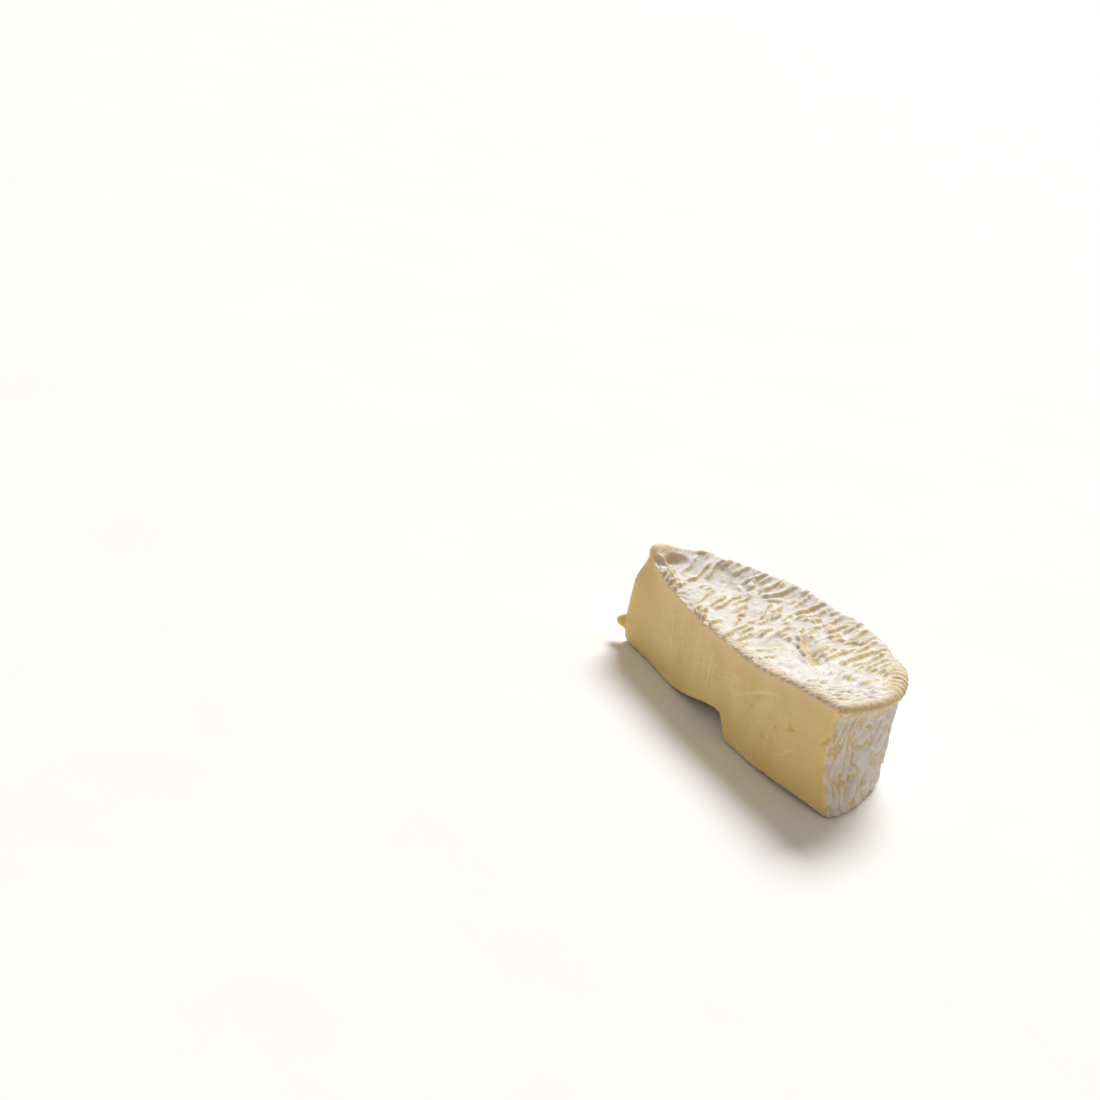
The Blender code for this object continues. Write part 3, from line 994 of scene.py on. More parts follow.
@dataclass
class CutFace:
    """The paste of the cut, with its knife marks, its slits and the border of the rind."""

    wheel: Wheel = Wheel()
    seed: int = 5
    slit_zones: tuple[tuple[float, float, int], ...] = ((18.0, 51.0, 44), (-22.0, 14.0, 12))
    upright_marks: int = 19
    first_mark: float = -31.0
    mark_pitch: float = 1.75
    long_marks: int = 26
    rind_side: float = 0.0005
    rind_foot: float = 0.0007
    placed_holes: tuple[Oval, ...] = (
        Oval(52.9, 21.4, 2.1, 0.6, 55, 0.80),
        Oval(39.9, 18.3, 1.8, 0.8, 10, 0.80),
        Oval(39.1, 19.1, 0.8, 0.6, 60, 0.60),
        Oval(33.8, 15.5, 1.35, 0.55, 14, 0.65),
        Oval(21.6, 15.6, 0.85, 0.4, 25, 0.55),
        Oval(20.4, 14.6, 1.1, 0.3, 15, 0.35),
        Oval(29.1, 10.6, 1.1, 0.5, 10, 0.60),
        Oval(21.3, 10.6, 1.6, 0.3, 0, 0.45),
        Oval(23.4, 10.1, 0.55, 0.3, 5, 0.45),
        Oval(33.1, 10.5, 0.6, 0.35, 10, 0.45),
        Oval(33.8, 8.7, 0.65, 0.25, 12, 0.40),
        Oval(31.3, 6.2, 0.7, 0.3, 5, 0.35),
        Oval(26.3, 5.9, 0.7, 0.25, 5, 0.30),
        Oval(45.9, 12.3, 0.75, 0.25, 15, 0.40),
        Oval(49.9, 19.4, 0.55, 0.3, 10, 0.45),
        Oval(37.7, 21.9, 0.6, 0.3, 20, 0.45),
        Oval(27.0, 21.6, 0.6, 0.3, 20, 0.40),
        Oval(12.4, 16.7, 0.65, 0.3, 25, 0.45),
        Oval(2.4, 16.4, 0.7, 0.3, 10, 0.40),
        Oval(-7.6, 15.5, 0.75, 0.3, 25, 0.40),
        Oval(-2.6, 13.0, 0.55, 0.3, 20, 0.45),
        Oval(-9.1, 10.5, 1.05, 0.3, 3, 0.45),
        Oval(-16.2, 15.9, 1.6, 0.3, 22, 0.40),
    )
    placed_smears: tuple[Smear, ...] = (
        Smear((2.0, 15.6), (16.3, 19.6), 1.2, 0.06, 0.3),
        Smear((10.4, 13.4), (25.0, 21.4), 1.3, 0.06, 0.3),
        Smear((20.0, 19.4), (33.0, 24.4), 1.1, 0.08, 0.5),
        Smear((3.0, 17.8), (16.5, 20.4), 0.9, 0.07, 0.4),
        Smear((-39.0, 13.8), (-32.6, 15.6), 1.0, 0.09, 0.3),
        Smear((-29.0, 17.6), (-25.4, 11.6), 1.1, 0.09, -0.5),
        Smear((34.0, 8.0), (43.5, 14.5), 1.2, 0.08, -1.0),
        Smear((36.0, 10.5), (46.0, 17.0), 1.0, 0.07, -1.0),
    )
    holes: list[Oval] = field(default_factory=list)
    smears: list[Smear] = field(default_factory=list)

    def mark(self) -> None:
        """Adds the small slits and the finer knife marks to those seen one by one."""
        draw = random.Random(self.seed)
        self.holes, self.smears = list(self.placed_holes), list(self.placed_smears)
        for low, high, count in self.slit_zones:
            for _ in range(count):
                self.holes.append(
                    Oval(
                        draw.uniform(low, high),
                        draw.triangular(5.0, 25.0, 16.0),
                        draw.uniform(0.7, 1.5) / 2,
                        draw.uniform(0.45, 0.7) / 2,
                        draw.gauss(18, 12),
                        draw.uniform(0.2, 0.45),
                    )
                )
        for step in range(self.upright_marks):
            x = self.first_mark + self.mark_pitch * step + draw.uniform(-0.5, 0.5)
            top, foot = draw.uniform(18, 25), draw.uniform(5, 12)
            lean = 0.13 * (-8.0 - x) + draw.gauss(0, 0.5)
            self.smears.append(
                Smear(
                    (x - 0.4 * lean, top),
                    (x + lean, foot),
                    draw.uniform(0.7, 1.1),
                    draw.uniform(0.04, 0.09) * draw.choice((-1, 1, 1)),
                    draw.uniform(-0.9, 0.3),
                )
            )
        for _ in range(self.long_marks):
            x, z = draw.uniform(-50, 48), draw.uniform(3, 25)
            length, rise = draw.uniform(4, 11), draw.gauss(0.30, 0.22)
            self.smears.append(
                Smear(
                    (x, z),
                    (x + length, z + rise * length),
                    draw.uniform(0.6, 1.0),
                    draw.uniform(0.02, 0.05) * draw.choice((-1, 1)),
                    draw.uniform(-0.6, 0.8),
                )
            )

    def read(self, x: Array, z: Array) -> tuple[Array, Array, Array]:
        """Relief of the paste, its slits and its knife marks.

        Args:
            x: Places along the cut.
            z: Heights after settling.

        Returns:
            The heights in metres, the slits from 0 to 1, and the marks from -1 to 1.
        """
        east = x / MM + 0.12 * grain(x, 0.1, z, 0.0008)
        up = z / MM + 0.12 * grain(x, 0.2, z, 0.0008)
        depth, open_share, marks = np.zeros_like(x), np.zeros_like(x), np.zeros_like(x)
        for hole in self.holes:
            share = hump(hole.away(east, up) ** 1.5)
            depth = np.maximum(depth, hole.depth * share)
            open_share = np.maximum(open_share, share * min(1.0, (hole.depth / 0.6) ** 1.2))
        for smear in self.smears:
            marks += smear.rise(east, up)
        skin = 0.05 * grain(x, 0.4, z, 0.0040) + 0.02 * grain(x, 0.6, z, 0.0011)
        return (marks + skin - 0.7 * depth) * MM, open_share, np.clip(marks / 0.10, -1, 1)

    def paste_share(self, x: Array, z: Array, hang: Array) -> Array:
        """1 on the paste and 0 on the rind round it, with an uneven border.

        Args:
            x: Places along the cut.
            z: Heights.
            hang: How far the rind hangs down over the paste.

        Returns:
            One share for each place.
        """
        height, chord = self.wheel.height, self.wheel.half_chord
        below = height - z - hang
        side = 0.0004 * grain(z, 0.7, 0.1, 0.0022) + 0.0002 * grain(z, 0.7, 0.2, 0.0008)
        within = chord - np.abs(x) - self.rind_side - side
        above = z - self.rind_foot - 0.0003 * grain(x, 0.5, 0.3, 0.0020)
        nearest = np.minimum(np.minimum(below, within), above)
        return ease(-0.0002, 0.0002, nearest)


@dataclass(frozen=True)
class FloorMarks:
    """The faint mat marks of the underside, which only go into it."""

    pitch: float = 0.0041
    depth: float = 0.00022

    def read(self, x: Array, y: Array) -> tuple[Array, Array]:
        """Depth and wear of the marks.

        Args:
            x: Places along the cut.
            y: Places behind the cut.

        Returns:
            The depths in metres, and the wear from 0 to 1.
        """
        lane = x + 0.5 * y + 0.0012 * grain(x, y, 0.4, 0.008)
        groove = 0.5 + 0.5 * np.cos(2 * np.pi * lane / self.pitch)
        patch = ease(-0.4, 0.5, grain(x, y, 0.5, 0.010))
        return self.depth * groove * patch, (1 - groove) * patch


class Spots:
    """The points of the plain half wheel, and how far each is on its top, foot, cut and side."""

    def __init__(self, wheel: Wheel, plain: Array, facing: Array) -> None:
        """Works out where each point lies.

        Args:
            wheel: The wheel that the half was cut from.
            plain: The points, one row of three coordinates each.
            facing: The outward directions there.
        """
        self.x, self.y, self.z = plain.T
        self.level = self.z / wheel.height
        self.drop = wheel.height - self.z
        self.inside = wheel.radius - wheel.radius_at(self.x, self.y)
        self.from_left = self.x + wheel.half_chord
        self.angle = wheel.angle_at(self.x, self.y)
        turn = np.radians(self.angle)
        east, north, up = facing.T
        outward = east * np.cos(turn) + north * np.sin(turn)
        self.top = ease(0.15, 0.65, up)
        self.foot = ease(0.5, 0.9, -up)
        self.cut = ease(0.35, 0.8, -north) * (1 - self.top)
        side = ease(0.2, 0.7, outward) * (1 - ease(0.3, 0.8, -north))
        self.side = side * ((1 - self.top) * (1 - self.foot))

    def grain(self, size: float) -> Array:
        """Smooth noise between -1 and 1 over the points, with blobs about this size."""
        return grain(self.x, self.y, self.z, size)


@dataclass(frozen=True)
class Ear:
    """The swollen left end of the cut's top edge, with its golden skin, its pit and the nub below."""

    size: float = 0.0058
    length: float = 0.0068
    middle: float = 0.0015
    levels: tuple[float, float] = (0.76, 0.9)
    swell: float = 0.0003
    gold_size: float = 0.0078
    gold_middle: float = 0.0005
    gold_levels: tuple[float, float] = (0.72, 0.86)
    pit: Oval = Oval(-46.6, 6.2, 2.1, 2.7, 0, 0.8)
    pit_rim: float = 0.0004
    nub_height: float = 0.0060
    nub_middle: float = 0.0004
    nub_size: float = 0.0027
    nub_reach: float = 0.0029

    def share(self, spots: Spots) -> Array:
        """1 in the middle of the ear and 0 away from it."""
        away = np.hypot(spots.from_left / self.size, (spots.y - self.middle) / self.length)
        return hump(away**2) * ease(*self.levels, spots.level)

    def golden(self, spots: Spots) -> Array:
        """How golden the skin is at each point, from 0 to 1."""
        away = np.hypot(spots.from_left / self.gold_size, (spots.y - self.gold_middle) / self.gold_size)
        return ease(0.0, 0.55, hump(away**1.5)) * ease(*self.gold_levels, spots.level)

    def nub(self, spots: Spots) -> Array:
        """1 in the middle of the small drop of paste at the left end of the cut.

        Args:
            spots: The points of the half wheel.

        Returns:
            One share for each point.
        """
        behind, above = spots.y - self.nub_middle, spots.z - self.nub_height
        away = np.sqrt(spots.from_left**2 + behind**2 + above**2)
        return 1 - ease(0.3 * self.nub_size, self.nub_size, away)


@dataclass(frozen=True)
class Lip:
    """The rolled lip of the rim, and the knob with short ridges at its right end."""

    wheel: Wheel = Wheel()
    width: float = 0.0018
    levels: tuple[float, float] = (0.83, 0.93)
    roll: float = 0.00025
    right_end: tuple[float, float] = (70.0, 95.0)
    smooth_width: float = 0.0030
    smooth_end: tuple[float, float] = (36.0, 44.0)
    gold_line: float = 0.0001
    gold_width: float = 0.0007
    left_gold: RimMark = RimMark(170, 9, 0.5)
    knob_start: tuple[float, float] = (33.0, 40.0)
    knob_end: tuple[float, float] = (60.0, 67.0)
    knob_inside: tuple[float, float] = (0.0028, 0.0046)
    knob_levels: tuple[float, float] = (0.78, 0.90)
    ridge_pitch: float = 0.0035
    ridge_height: float = 0.00055

    def share(self, spots: Spots) -> Array:
        """1 on the crest of the lip and 0 away from it."""
        return hump(spots.inside / self.width) * ease(*self.levels, spots.level)

    def right(self, spots: Spots) -> Array:
        """1 along the right part of the rim and 0 behind it."""
        return 1 - ease(*self.right_end, spots.angle)

    def smooth(self, spots: Spots) -> Array:
        """1 where the lip next to the right corner has no folds."""
        near = hump(spots.inside / self.smooth_width) * ease(*self.levels, spots.level)
        return near * (1 - ease(*self.smooth_end, spots.angle))

    def knuckles(self, spots: Spots) -> tuple[Array, Array]:
        """The short ridges that wrap over the knob.

        Args:
            spots: The points of the half wheel.

        Returns:
            Where the knob is, from 0 to 1, and the height of its ridges, from 0 to 1.
        """
        stray = 0.0006 * grain(spots.angle, spots.inside / MM, spots.level, 6.0)
        arc = self.wheel.radius * np.radians(spots.angle) + stray
        knob = ease(*self.knob_start, spots.angle) * (1 - ease(*self.knob_end, spots.angle))
        knob *= (1 - ease(*self.knob_inside, spots.inside)) * ease(*self.knob_levels, spots.level)
        phase = 2 * np.pi * arc / self.ridge_pitch
        return knob, np.clip(0.5 + 0.42 * np.cos(phase) + 0.1 * np.cos(2.17 * phase), 0, 1)

    def worn(self, spots: Spots) -> Array:
        """How worn the lip is, from 0 to 1.

        Args:
            spots: The points of the half wheel.

        Returns:
            One share for each point.
        """
        gold = hump((spots.inside - self.gold_line) / self.gold_width) * ease(*self.levels, spots.level)
        strength = 0.25 + 0.55 * self.right(spots) + self.left_gold.at(spots.angle)
        return np.maximum(gold, (1 - spots.top) * self.share(spots)) * strength


@dataclass(frozen=True)
class Fringe:
    """The edge of the rind over the cut: rounded lobes, crumbled on the left and fine on the right."""

    fall: float = 0.0019
    least_fall: float = 0.0004
    left_lobe: float = 3.6
    right_lobe: float = 2.5
    fine_from: float = -4.0
    crumbled_end: tuple[float, float] = (-0.014, 0.006)
    height: float = 0.0008
    rounding: float = 0.00050
    depth: float = 0.0036
    reach: tuple[float, float] = (0.0016, 0.0058)
    bump_size: float = 0.0021
    crest_size: float = 0.0022

    def crumbled(self, x: Array) -> Array:
        """How crumbled the edge is at each x: 1 on the left and 0 on the right."""
        return 1 - ease(*self.crumbled_end, x)

    def petals(self, spots: Spots) -> Array:
        """The rounded lobes in which the rind hangs over the cut.

        Args:
            spots: The points of the half wheel.

        Returns:
            1 in the middle of a lobe and 0 between two of them.
        """
        x, y = spots.x, spots.y
        east = (x + 0.8 * spots.drop - 0.5 * y) / MM + 0.9 * grain(x, y, 0.3, 0.0060)
        turns = east / self.left_lobe
        turns += np.maximum(east - self.fine_from, 0.0) * (1 / self.right_lobe - 1 / self.left_lobe)
        turns += 0.40 * grain(x, y, 0.5, 0.0030)
        return np.abs(np.sin(np.pi * turns)) ** (1.9 - 1.0 * self.crumbled(x))

    def hang(self, x: Array, petal: Array) -> Array:
        """How far the rind hangs down over the paste.

        Args:
            x: Places along the cut.
            petal: 1 in the middle of a lobe and 0 between two of them.

        Returns:
            One distance for each place.
        """
        wide = 0.0006 * grain(x, 0.3, 0.1, 0.0036)
        rough = 0.85 + 0.15 * self.crumbled(x)
        return np.maximum(rough * (self.fall * (0.35 + 0.75 * petal) + wide), self.least_fall)

    def share(self, spots: Spots) -> Array:
        """1 on the edge of the rind, 0 away from it, with an uneven border.

        Args:
            spots: The points of the half wheel.

        Returns:
            One share for each point.
        """
        x, y = spots.x, spots.y
        behind = y + 0.0010 * grain(x, y, 0.3, 0.0030) + 0.0005 * grain(x, y, 0.6, 0.0012)
        return hump(spots.drop / self.depth) * (1 - ease(*self.reach, behind))


class Carving:
    """What the folds, the mould, the lip, the ear and the fringe do together at each point."""

    def __init__(self, half: "CheeseHalf", spots: Spots, settled: Array) -> None:
        """Reads each part of the half wheel once.

        Args:
            half: The half wheel.
            spots: Its points.
            settled: Their heights after settling.
        """
        self.half, self.spots = half, spots
        self.fold_height, self.fold_worn, self.fold_shade = half.folds.read(spots.x, spots.y)
        self.mould_height, self.mould_worn = half.mould.read(spots.x, spots.y, spots.z)
        self.cut_height, self.hole, self.smear = half.cut.read(spots.x, settled)
        self.mark_depth, self.mark_worn = half.foot.read(spots.x, spots.y)
        self.ear, self.golden = half.ear.share(spots), half.ear.golden(spots)
        self.pit = half.ear.pit.away(spots.x / MM, spots.y / MM)
        self.pit_rim = hump((self.pit - 1.25) / 0.40)
        self.lip, self.smooth = half.lip.share(spots), half.lip.smooth(spots)
        self.knob, self.ridge = half.lip.knuckles(spots)
        self.petal, self.crumbled = half.fringe.petals(spots), half.fringe.crumbled(spots.x)
        self.hang = half.fringe.hang(spots.x, self.petal)
        self.edge = half.fringe.share(spots) * (1 - self.ear)
        self.paste = self.paste_share()

    def paste_share(self) -> Array:
        """1 where the paste is bare and 0 on the rind.

        Returns:
            One share for each point.
        """
        spots = self.spots
        bare = ease(0.2, 0.6, spots.cut) * self.half.cut.paste_share(spots.x, spots.z, self.hang)
        bare = bare * (1 - ease(0.3, 0.6, self.ear))
        on_ear = ease(0.85, 1.0, self.golden) * (1 - 0.5 * spots.top) * (1 - 0.8 * spots.side)
        return np.maximum(bare, on_ear)

    def relief(self) -> Array:
        """How far each point moves outwards.

        Returns:
            One distance for each point.
        """
        half, spots, top = self.half, self.spots, self.spots.top
        skin = np.maximum(top, self.lip) * (1 - np.maximum(0.7 * self.lip, self.smooth)) * (1 - self.knob)
        skin *= 1 - 0.6 * self.edge * (1 - self.crumbled)
        flat = (1 - np.maximum(self.ear, 0.7 * self.edge)) * (1 - self.smooth)
        near_cut = 1 - ease(*half.near_cut, spots.y)
        lumps = half.lump_height * (0.5 + 0.1 * near_cut) * spots.grain(half.lump_size)
        relief = skin * self.fold_height * (1 - 0.9 * self.ear) + top * lumps * flat
        belly = half.belly.at(spots.angle) * hump((spots.z - half.belly_level) / half.belly_level)
        relief += spots.side * (self.mould_height + belly)
        relief += half.fine_height * spots.grain(half.fine_size) * (1 - spots.cut)
        relief += half.ear.swell * self.ear * (1 - 0.9 * top) + half.ear.nub_reach * half.ear.nub(spots)
        relief += half.lip.roll * self.lip * half.lip.right(spots)
        relief += half.lip.ridge_height * self.knob * (self.ridge - 0.35)
        pit_depth = half.ear.pit.depth * MM
        relief += top * (half.ear.pit_rim * self.pit_rim - pit_depth * hump(self.pit))
        return relief + self.cut_relief() - spots.foot * self.mark_depth

    def cut_relief(self) -> Array:
        """The relief of the cut and of the fringe over it.

        Returns:
            One distance for each point.
        """
        fringe, spots = self.half.fringe, self.spots
        over = ease(-fringe.rounding, 0.5 * fringe.rounding, self.hang - spots.drop) * (1 - self.ear)
        bumps = 0.15 + 0.75 * self.petal + 0.25 * spots.grain(fringe.bump_size)
        height = fringe.height * (0.26 + 0.44 * self.crumbled)
        crests = 0.5 * (self.petal - 0.5) + 0.15 * spots.grain(fringe.crest_size)
        relief = spots.cut * (self.cut_height * (1 - over) + height * over * bumps)
        return relief + spots.top * self.edge * height * crests

    def worn(self) -> Array:
        """How far the rind is worn tan, with a painted highlight that keeps the crests of the knob's
        ridges pale.

        Returns:
            One share from 0 to 1 for each point.
        """
        spots, top, lip = self.spots, self.spots.top, self.lip
        breakup = 0.5 * spots.grain(0.0028) + 0.35 * spots.grain(0.0010)
        folds = self.fold_worn * (1 - 0.22 * hump(spots.inside / 0.012) * ease(75, 100, spots.angle))
        folds = np.clip(folds + 0.22 * breakup * ease(0.05, 0.3, folds), 0, 1)
        worn = np.maximum(np.maximum(top, lip) * folds, spots.side * self.mould_worn)
        rolled = self.half.lip.worn(spots) + 0.25 * breakup * lip * (1 - self.smooth)
        worn = np.maximum(worn, np.clip(rolled, 0, 1))
        # Painted highlight: the crests of the knob's ridges are kept pale, most on their inner part.
        shine = self.ridge * (0.25 + 0.75 * ease(-0.0004, 0.0014, spots.inside))
        worn = worn * (1 - self.knob) + self.knob * (0.95 - 0.65 * shine)
        worn = np.maximum(worn, 0.6 * spots.foot * self.mark_worn)
        worn = worn * (1 - self.golden) + 0.4 * self.golden
        worn = worn * (1 - 0.8 * self.pit_rim * top) + 0.3 * top * hump((self.pit - 0.7) / 0.35)
        return np.clip(worn, 0, 1) * (1 - self.paste)

    def border(self) -> Array:
        """How golden each point is near the border of rind and paste, in the cracks and on the lip.

        Returns:
            One share for each point.
        """
        spots, top, cut = self.spots, self.spots.top, self.spots.cut
        below = spots.drop - self.hang
        hung = cut * ease(0.5, 0.7, spots.level) * (1 - self.ear)
        band = np.maximum(hung, self.edge * (cut + (0.95 - 0.7 * self.crumbled) * top))
        band = np.clip(band, 0, 1) * (1 - self.paste)
        band *= 1 - 0.7 * self.petal**1.5 * (1 - 0.7 * ease(0.3, 1.1, spots.drop / self.hang))
        under = 0.9 * hump(below / 0.0007) * self.edge * (cut + 0.6 * top)
        lip = 0.75 * self.lip**2 * self.half.lip.right(spots) * (1 - self.knob)
        cracks = 0.55 * spots.side * ease(0.45, 0.95, self.mould_worn)
        band = np.maximum(band, np.maximum(np.maximum(under, lip), cracks) * (1 - self.paste))
        band = np.maximum(band * (1 - self.golden), 0.75 * self.golden * (1 - self.paste))
        soft = hump(np.clip(below / (0.0028 - 0.0010 * self.crumbled), 0.0, 9.0))
        return np.maximum(band, self.paste * soft * (0.75 + 0.30 * grain(spots.x, 0.3, spots.z, 0.006)))

    def dusk(self) -> Array:
        """How grey the rind is painted: painted shade in the hollows of the top, at the foot of the
        ledge, in the ear's pit and all over the side and underside, with the rind's own grey clouds on
        the top.

        Returns:
            One share for each point.
        """
        spots, top = self.spots, self.spots.top
        clouds = ease(0.0, 0.7, spots.grain(0.0085) + 0.25 * spots.grain(0.0022))
        # Painted shade: the valleys between the folds are greyed by how low they lie.
        valley_shade = 0.5 * (1 - ease(-0.7 * MM, -0.1 * MM, self.fold_height))
        # Painted shade: the hollow at the foot of the ledge and the ear's pit are greyed.
        shade = 1.4 * np.maximum(self.fold_shade, 0.6 * hump(0.9 * self.pit))
        # Painted shade all over the side and underside; on the top only the clouds are the rind's own
        # grey tone.
        dusk = np.maximum(top * (0.4 * clouds + valley_shade), (1 - top) * (0.92 + 0.2 * spots.grain(0.0030)))
        return np.maximum(dusk, top * shade) * (1 - self.golden) * (1 - spots.cut)

    def masks(self) -> dict[Mask, Array]:
        """What the finish reads at each point.

        Returns:
            The value of each mask.
        """
        spots = self.spots
        ends = 0.45 * ease(0.015, 0.048, -spots.x) + 0.2 * ease(0.030, 0.048, spots.x)
        return {
            Mask.WORN: self.worn(),
            Mask.PASTE: self.paste,
            Mask.DUSK: self.dusk(),
            Mask.EDGE: self.border(),
            Mask.HOLE: self.hole * self.paste,
            Mask.SMEAR: 0.5 + 0.5 * self.smear - ends,
            Mask.TOP: spots.top * (1 - self.ear),
        }


@dataclass
class CheeseHalf:
    """The half wheel: its plain block settled, folded, moulded and marked."""

    settling: Settling = Settling()
    block: PlainHalf = field(default_factory=PlainHalf)
    folds: MatFolds = field(default_factory=MatFolds)
    mould: Mould = Mould()
    cut: CutFace = field(default_factory=CutFace)
    foot: FloorMarks = FloorMarks()
    ear: Ear = Ear()
    lip: Lip = Lip()
    fringe: Fringe = Fringe()
    belly: RimMark = RimMark(47, 16, 0.0004)
    belly_level: float = 0.012
    lump_height: float = 0.00022
    lump_size: float = 0.0016
    near_cut: tuple[float, float] = (0.001, 0.010)
    fine_height: float = 0.00005
    fine_size: float = 0.0007

    def make(self) -> bpy.types.Object:
        """Builds the half wheel with its masks.

        Returns:
            The finished mesh object, without materials.
        """
        self.folds.lay()
        self.cut.mark()
        piece = self.block.make("cheese_rind_and_paste")
        mesh = piece.data
        plain = np.empty(len(mesh.vertices) * 3, np.float32)
        mesh.vertices.foreach_get("co", plain)
        plain = plain.reshape(-1, 3).astype(float)
        spots = Spots(self.settling.wheel, plain, self.normals(mesh))
        settled = self.settling.settle(*plain.T)
        self.move(mesh, settled)
        carving = Carving(self, spots, settled[:, 2])
        places = settled + self.normals(mesh) * carving.relief()[:, None]
        places[:, 2] = np.maximum(places[:, 2], 0.0)
        self.move(mesh, places)
        for mask, values in carving.masks().items():
            layer = mesh.attributes.new(mask.value, "FLOAT", "POINT")
            layer.data.foreach_set("value", values.astype(np.float32))
        self.unroll(mesh, spots.x / MM, spots.y / MM)
        mesh.shade_smooth()
        return piece

    def unroll(self, mesh: bpy.types.Mesh, east: Array, north: Array) -> None:
        """Stores a map whose u runs across the straws and whose v runs along them.

        Args:
            mesh: The mesh to map.
            east: Each point's place along the cut, in millimetres.
            north: Each point's place behind the cut, in millimetres.
        """
        corners = np.empty(len(mesh.loops), np.int32)
        mesh.loops.foreach_get("vertex_index", corners)
        places = np.stack([self.folds.across(east, north), 1.2 * north], axis=-1) * MM
        layer = mesh.uv_layers.new(name=STRAW_MAP)
        layer.data.foreach_set("uv", places[corners].astype(np.float32).ravel())

    @staticmethod
    def move(mesh: bpy.types.Mesh, places: Array) -> None:
        """Moves the points of a mesh to these places."""
        mesh.vertices.foreach_set("co", places.astype(np.float32).ravel())
        mesh.update()

    @staticmethod
    def normals(mesh: bpy.types.Mesh) -> Array:
        """The outward direction at each point of a mesh.

        Args:
            mesh: The mesh.

        Returns:
            One row of three numbers for each point.
        """
        flat = np.empty(len(mesh.vertices) * 3, np.float32)
        mesh.vertex_normals.foreach_get("vector", flat)
        return flat.reshape(-1, 3).astype(float)


class NodeSheet:
    """A material's nodes, laid out and joined in a few words."""

    def __init__(self, name: str) -> None:
        """Makes the material.

        Args:
            name: The material's name.
        """
        self.material = bpy.data.materials.new(name)
        self.material.use_nodes = True
        self.tree = self.material.node_tree
        self.shader = self.tree.nodes["Principled BSDF"]
        self.place = self.add("ShaderNodeTexCoord").outputs["Object"]
        self.lie = self.add("ShaderNodeUVMap", uv_map=STRAW_MAP).outputs["UV"]

    def add(self, kind: str, **values: object) -> bpy.types.Node:
        """Adds a node.

        Args:
            kind: Blender's name for the node.
            **values: Settings of the node itself.

        Returns:
            The new node.
        """
        node = self.tree.nodes.new(kind)
        for name, value in values.items():
            setattr(node, name, value)
        return node

    def join(self, value: object, socket: Socket) -> None:
        """Links an output to a socket, or sets the socket to a plain value."""
        if isinstance(value, Socket):
            self.tree.links.new(value, socket)
        else:
            socket.default_value = value

    def put(self, **looks: object) -> None:
        """Gives inputs of the shader an output or a plain value each, by their names."""
        for name, value in looks.items():
            self.join(value, self.shader.inputs[name.replace("_", " ")])

    def mask(self, mask: Mask) -> Socket:
        """Reads one of the masks that the mesh holds."""
        return self.add("ShaderNodeAttribute", attribute_name=mask.value).outputs["Fac"]

    def speckle(
        self,
        size: float,
        detail: float = 2.0,
        stretch: Vector | None = None,
        place: Socket | None = None,
    ) -> Socket:
        """Noise between 0 and 1.

        Args:
            size: The size of its blobs, in metres.
            detail: How many finer layers it has.
            stretch: How much longer the blobs are along each axis.
            place: The coordinates that it is laid on, or none for the object's own.

        Returns:
            The noise's output.
        """
        mapping = self.add("ShaderNodeMapping")
        self.join(place or self.place, mapping.inputs["Vector"])
        if stretch is not None:
            mapping.inputs["Scale"].default_value = [1 / share for share in stretch]
        texture = self.add("ShaderNodeTexNoise")
        self.join(mapping.outputs["Vector"], texture.inputs["Vector"])
        texture.inputs["Scale"].default_value = 1 / size
        texture.inputs["Detail"].default_value = detail
        return texture.outputs["Fac"]

    def wrinkles(self) -> Socket:
        """Fine waves that run along the straws on the top, from 0 to 1."""
        waves = self.speckle(0.0015, 2.0, Vector((1.0, 4.0, 1.0)), self.lie)
        apart = self.math("ABSOLUTE", self.math("SUBTRACT", waves, 0.5), 0.0)
        return self.math("MULTIPLY", self.ramp(apart, 0.12, 0.0), self.mask(Mask.TOP))

    def ramp(
        self, value: object, low: float, high: float, start: float = 0.0, end: float = 1.0
    ) -> Socket:
        """Stretches a value between two limits.

        Args:
            value: What is read.
            low: What becomes start.
            high: What becomes end.
            start: The first result.
            end: The last result.

        Returns:
            The stretched value.
        """
        node = self.add("ShaderNodeMapRange", interpolation_type="SMOOTHSTEP")
        for socket, number in zip(node.inputs, (value, low, high, start, end)):
            self.join(number, socket)
        return node.outputs["Result"]

    def math(self, operation: str, first: object, second: object) -> Socket:
        """Works out one sum of two values."""
        node = self.add("ShaderNodeMath", operation=operation, use_clamp=False)
        self.join(first, node.inputs[0])
        self.join(second, node.inputs[1])
        return node.outputs["Value"]

    def blend(self, share: object, first: object, second: object) -> Socket:
        """Mixes two colours.

        Args:
            share: 0 for the first colour and 1 for the second.
            first: A colour or an output.
            second: A colour or an output.

        Returns:
            The mixed colour.
        """
        node = self.add("ShaderNodeMix", data_type="RGBA")
        self.join(share, node.inputs["Factor"])
        self.join(first, node.inputs[6])
        self.join(second, node.inputs[7])
        return node.outputs[2]

    def bump(self, height: object, distance: float) -> None:
        """Adds fine relief under the shader.

        Args:
            height: The relief, from 0 to 1.
            distance: Its height in metres.
        """
        node = self.add("ShaderNodeBump")
        node.inputs["Distance"].default_value = distance
        self.join(height, node.inputs["Height"])
        self.put(Normal=node.outputs["Normal"])

    def wax(self, weight: float, radius: tuple[float, float, float], scale: float) -> None:
        """Lets light spread under the skin.

        Args:
            weight: How much of the light goes in.
            radius: How far each colour spreads, as shares of scale.
            scale: The longest spread, in metres.
        """
        self.put(Subsurface_Weight=weight, Subsurface_Radius=radius, Subsurface_Scale=scale)


def tint(red: int, green: int, blue: int) -> Paint:
    """A colour given as a screen shows it, 0 to 255, turned into light.

    Args:
        red: Screen red.
        green: Screen green.
        blue: Screen blue.

    Returns:
        The colour's four linear values.
    """

    def light(value: int) -> float:
        """One channel turned into light."""
        share = value / 255
        return share / 12.92 if share <= 0.04045 else ((share + 0.055) / 1.055) ** 2.4

    return (light(red), light(green), light(blue), 1.0)


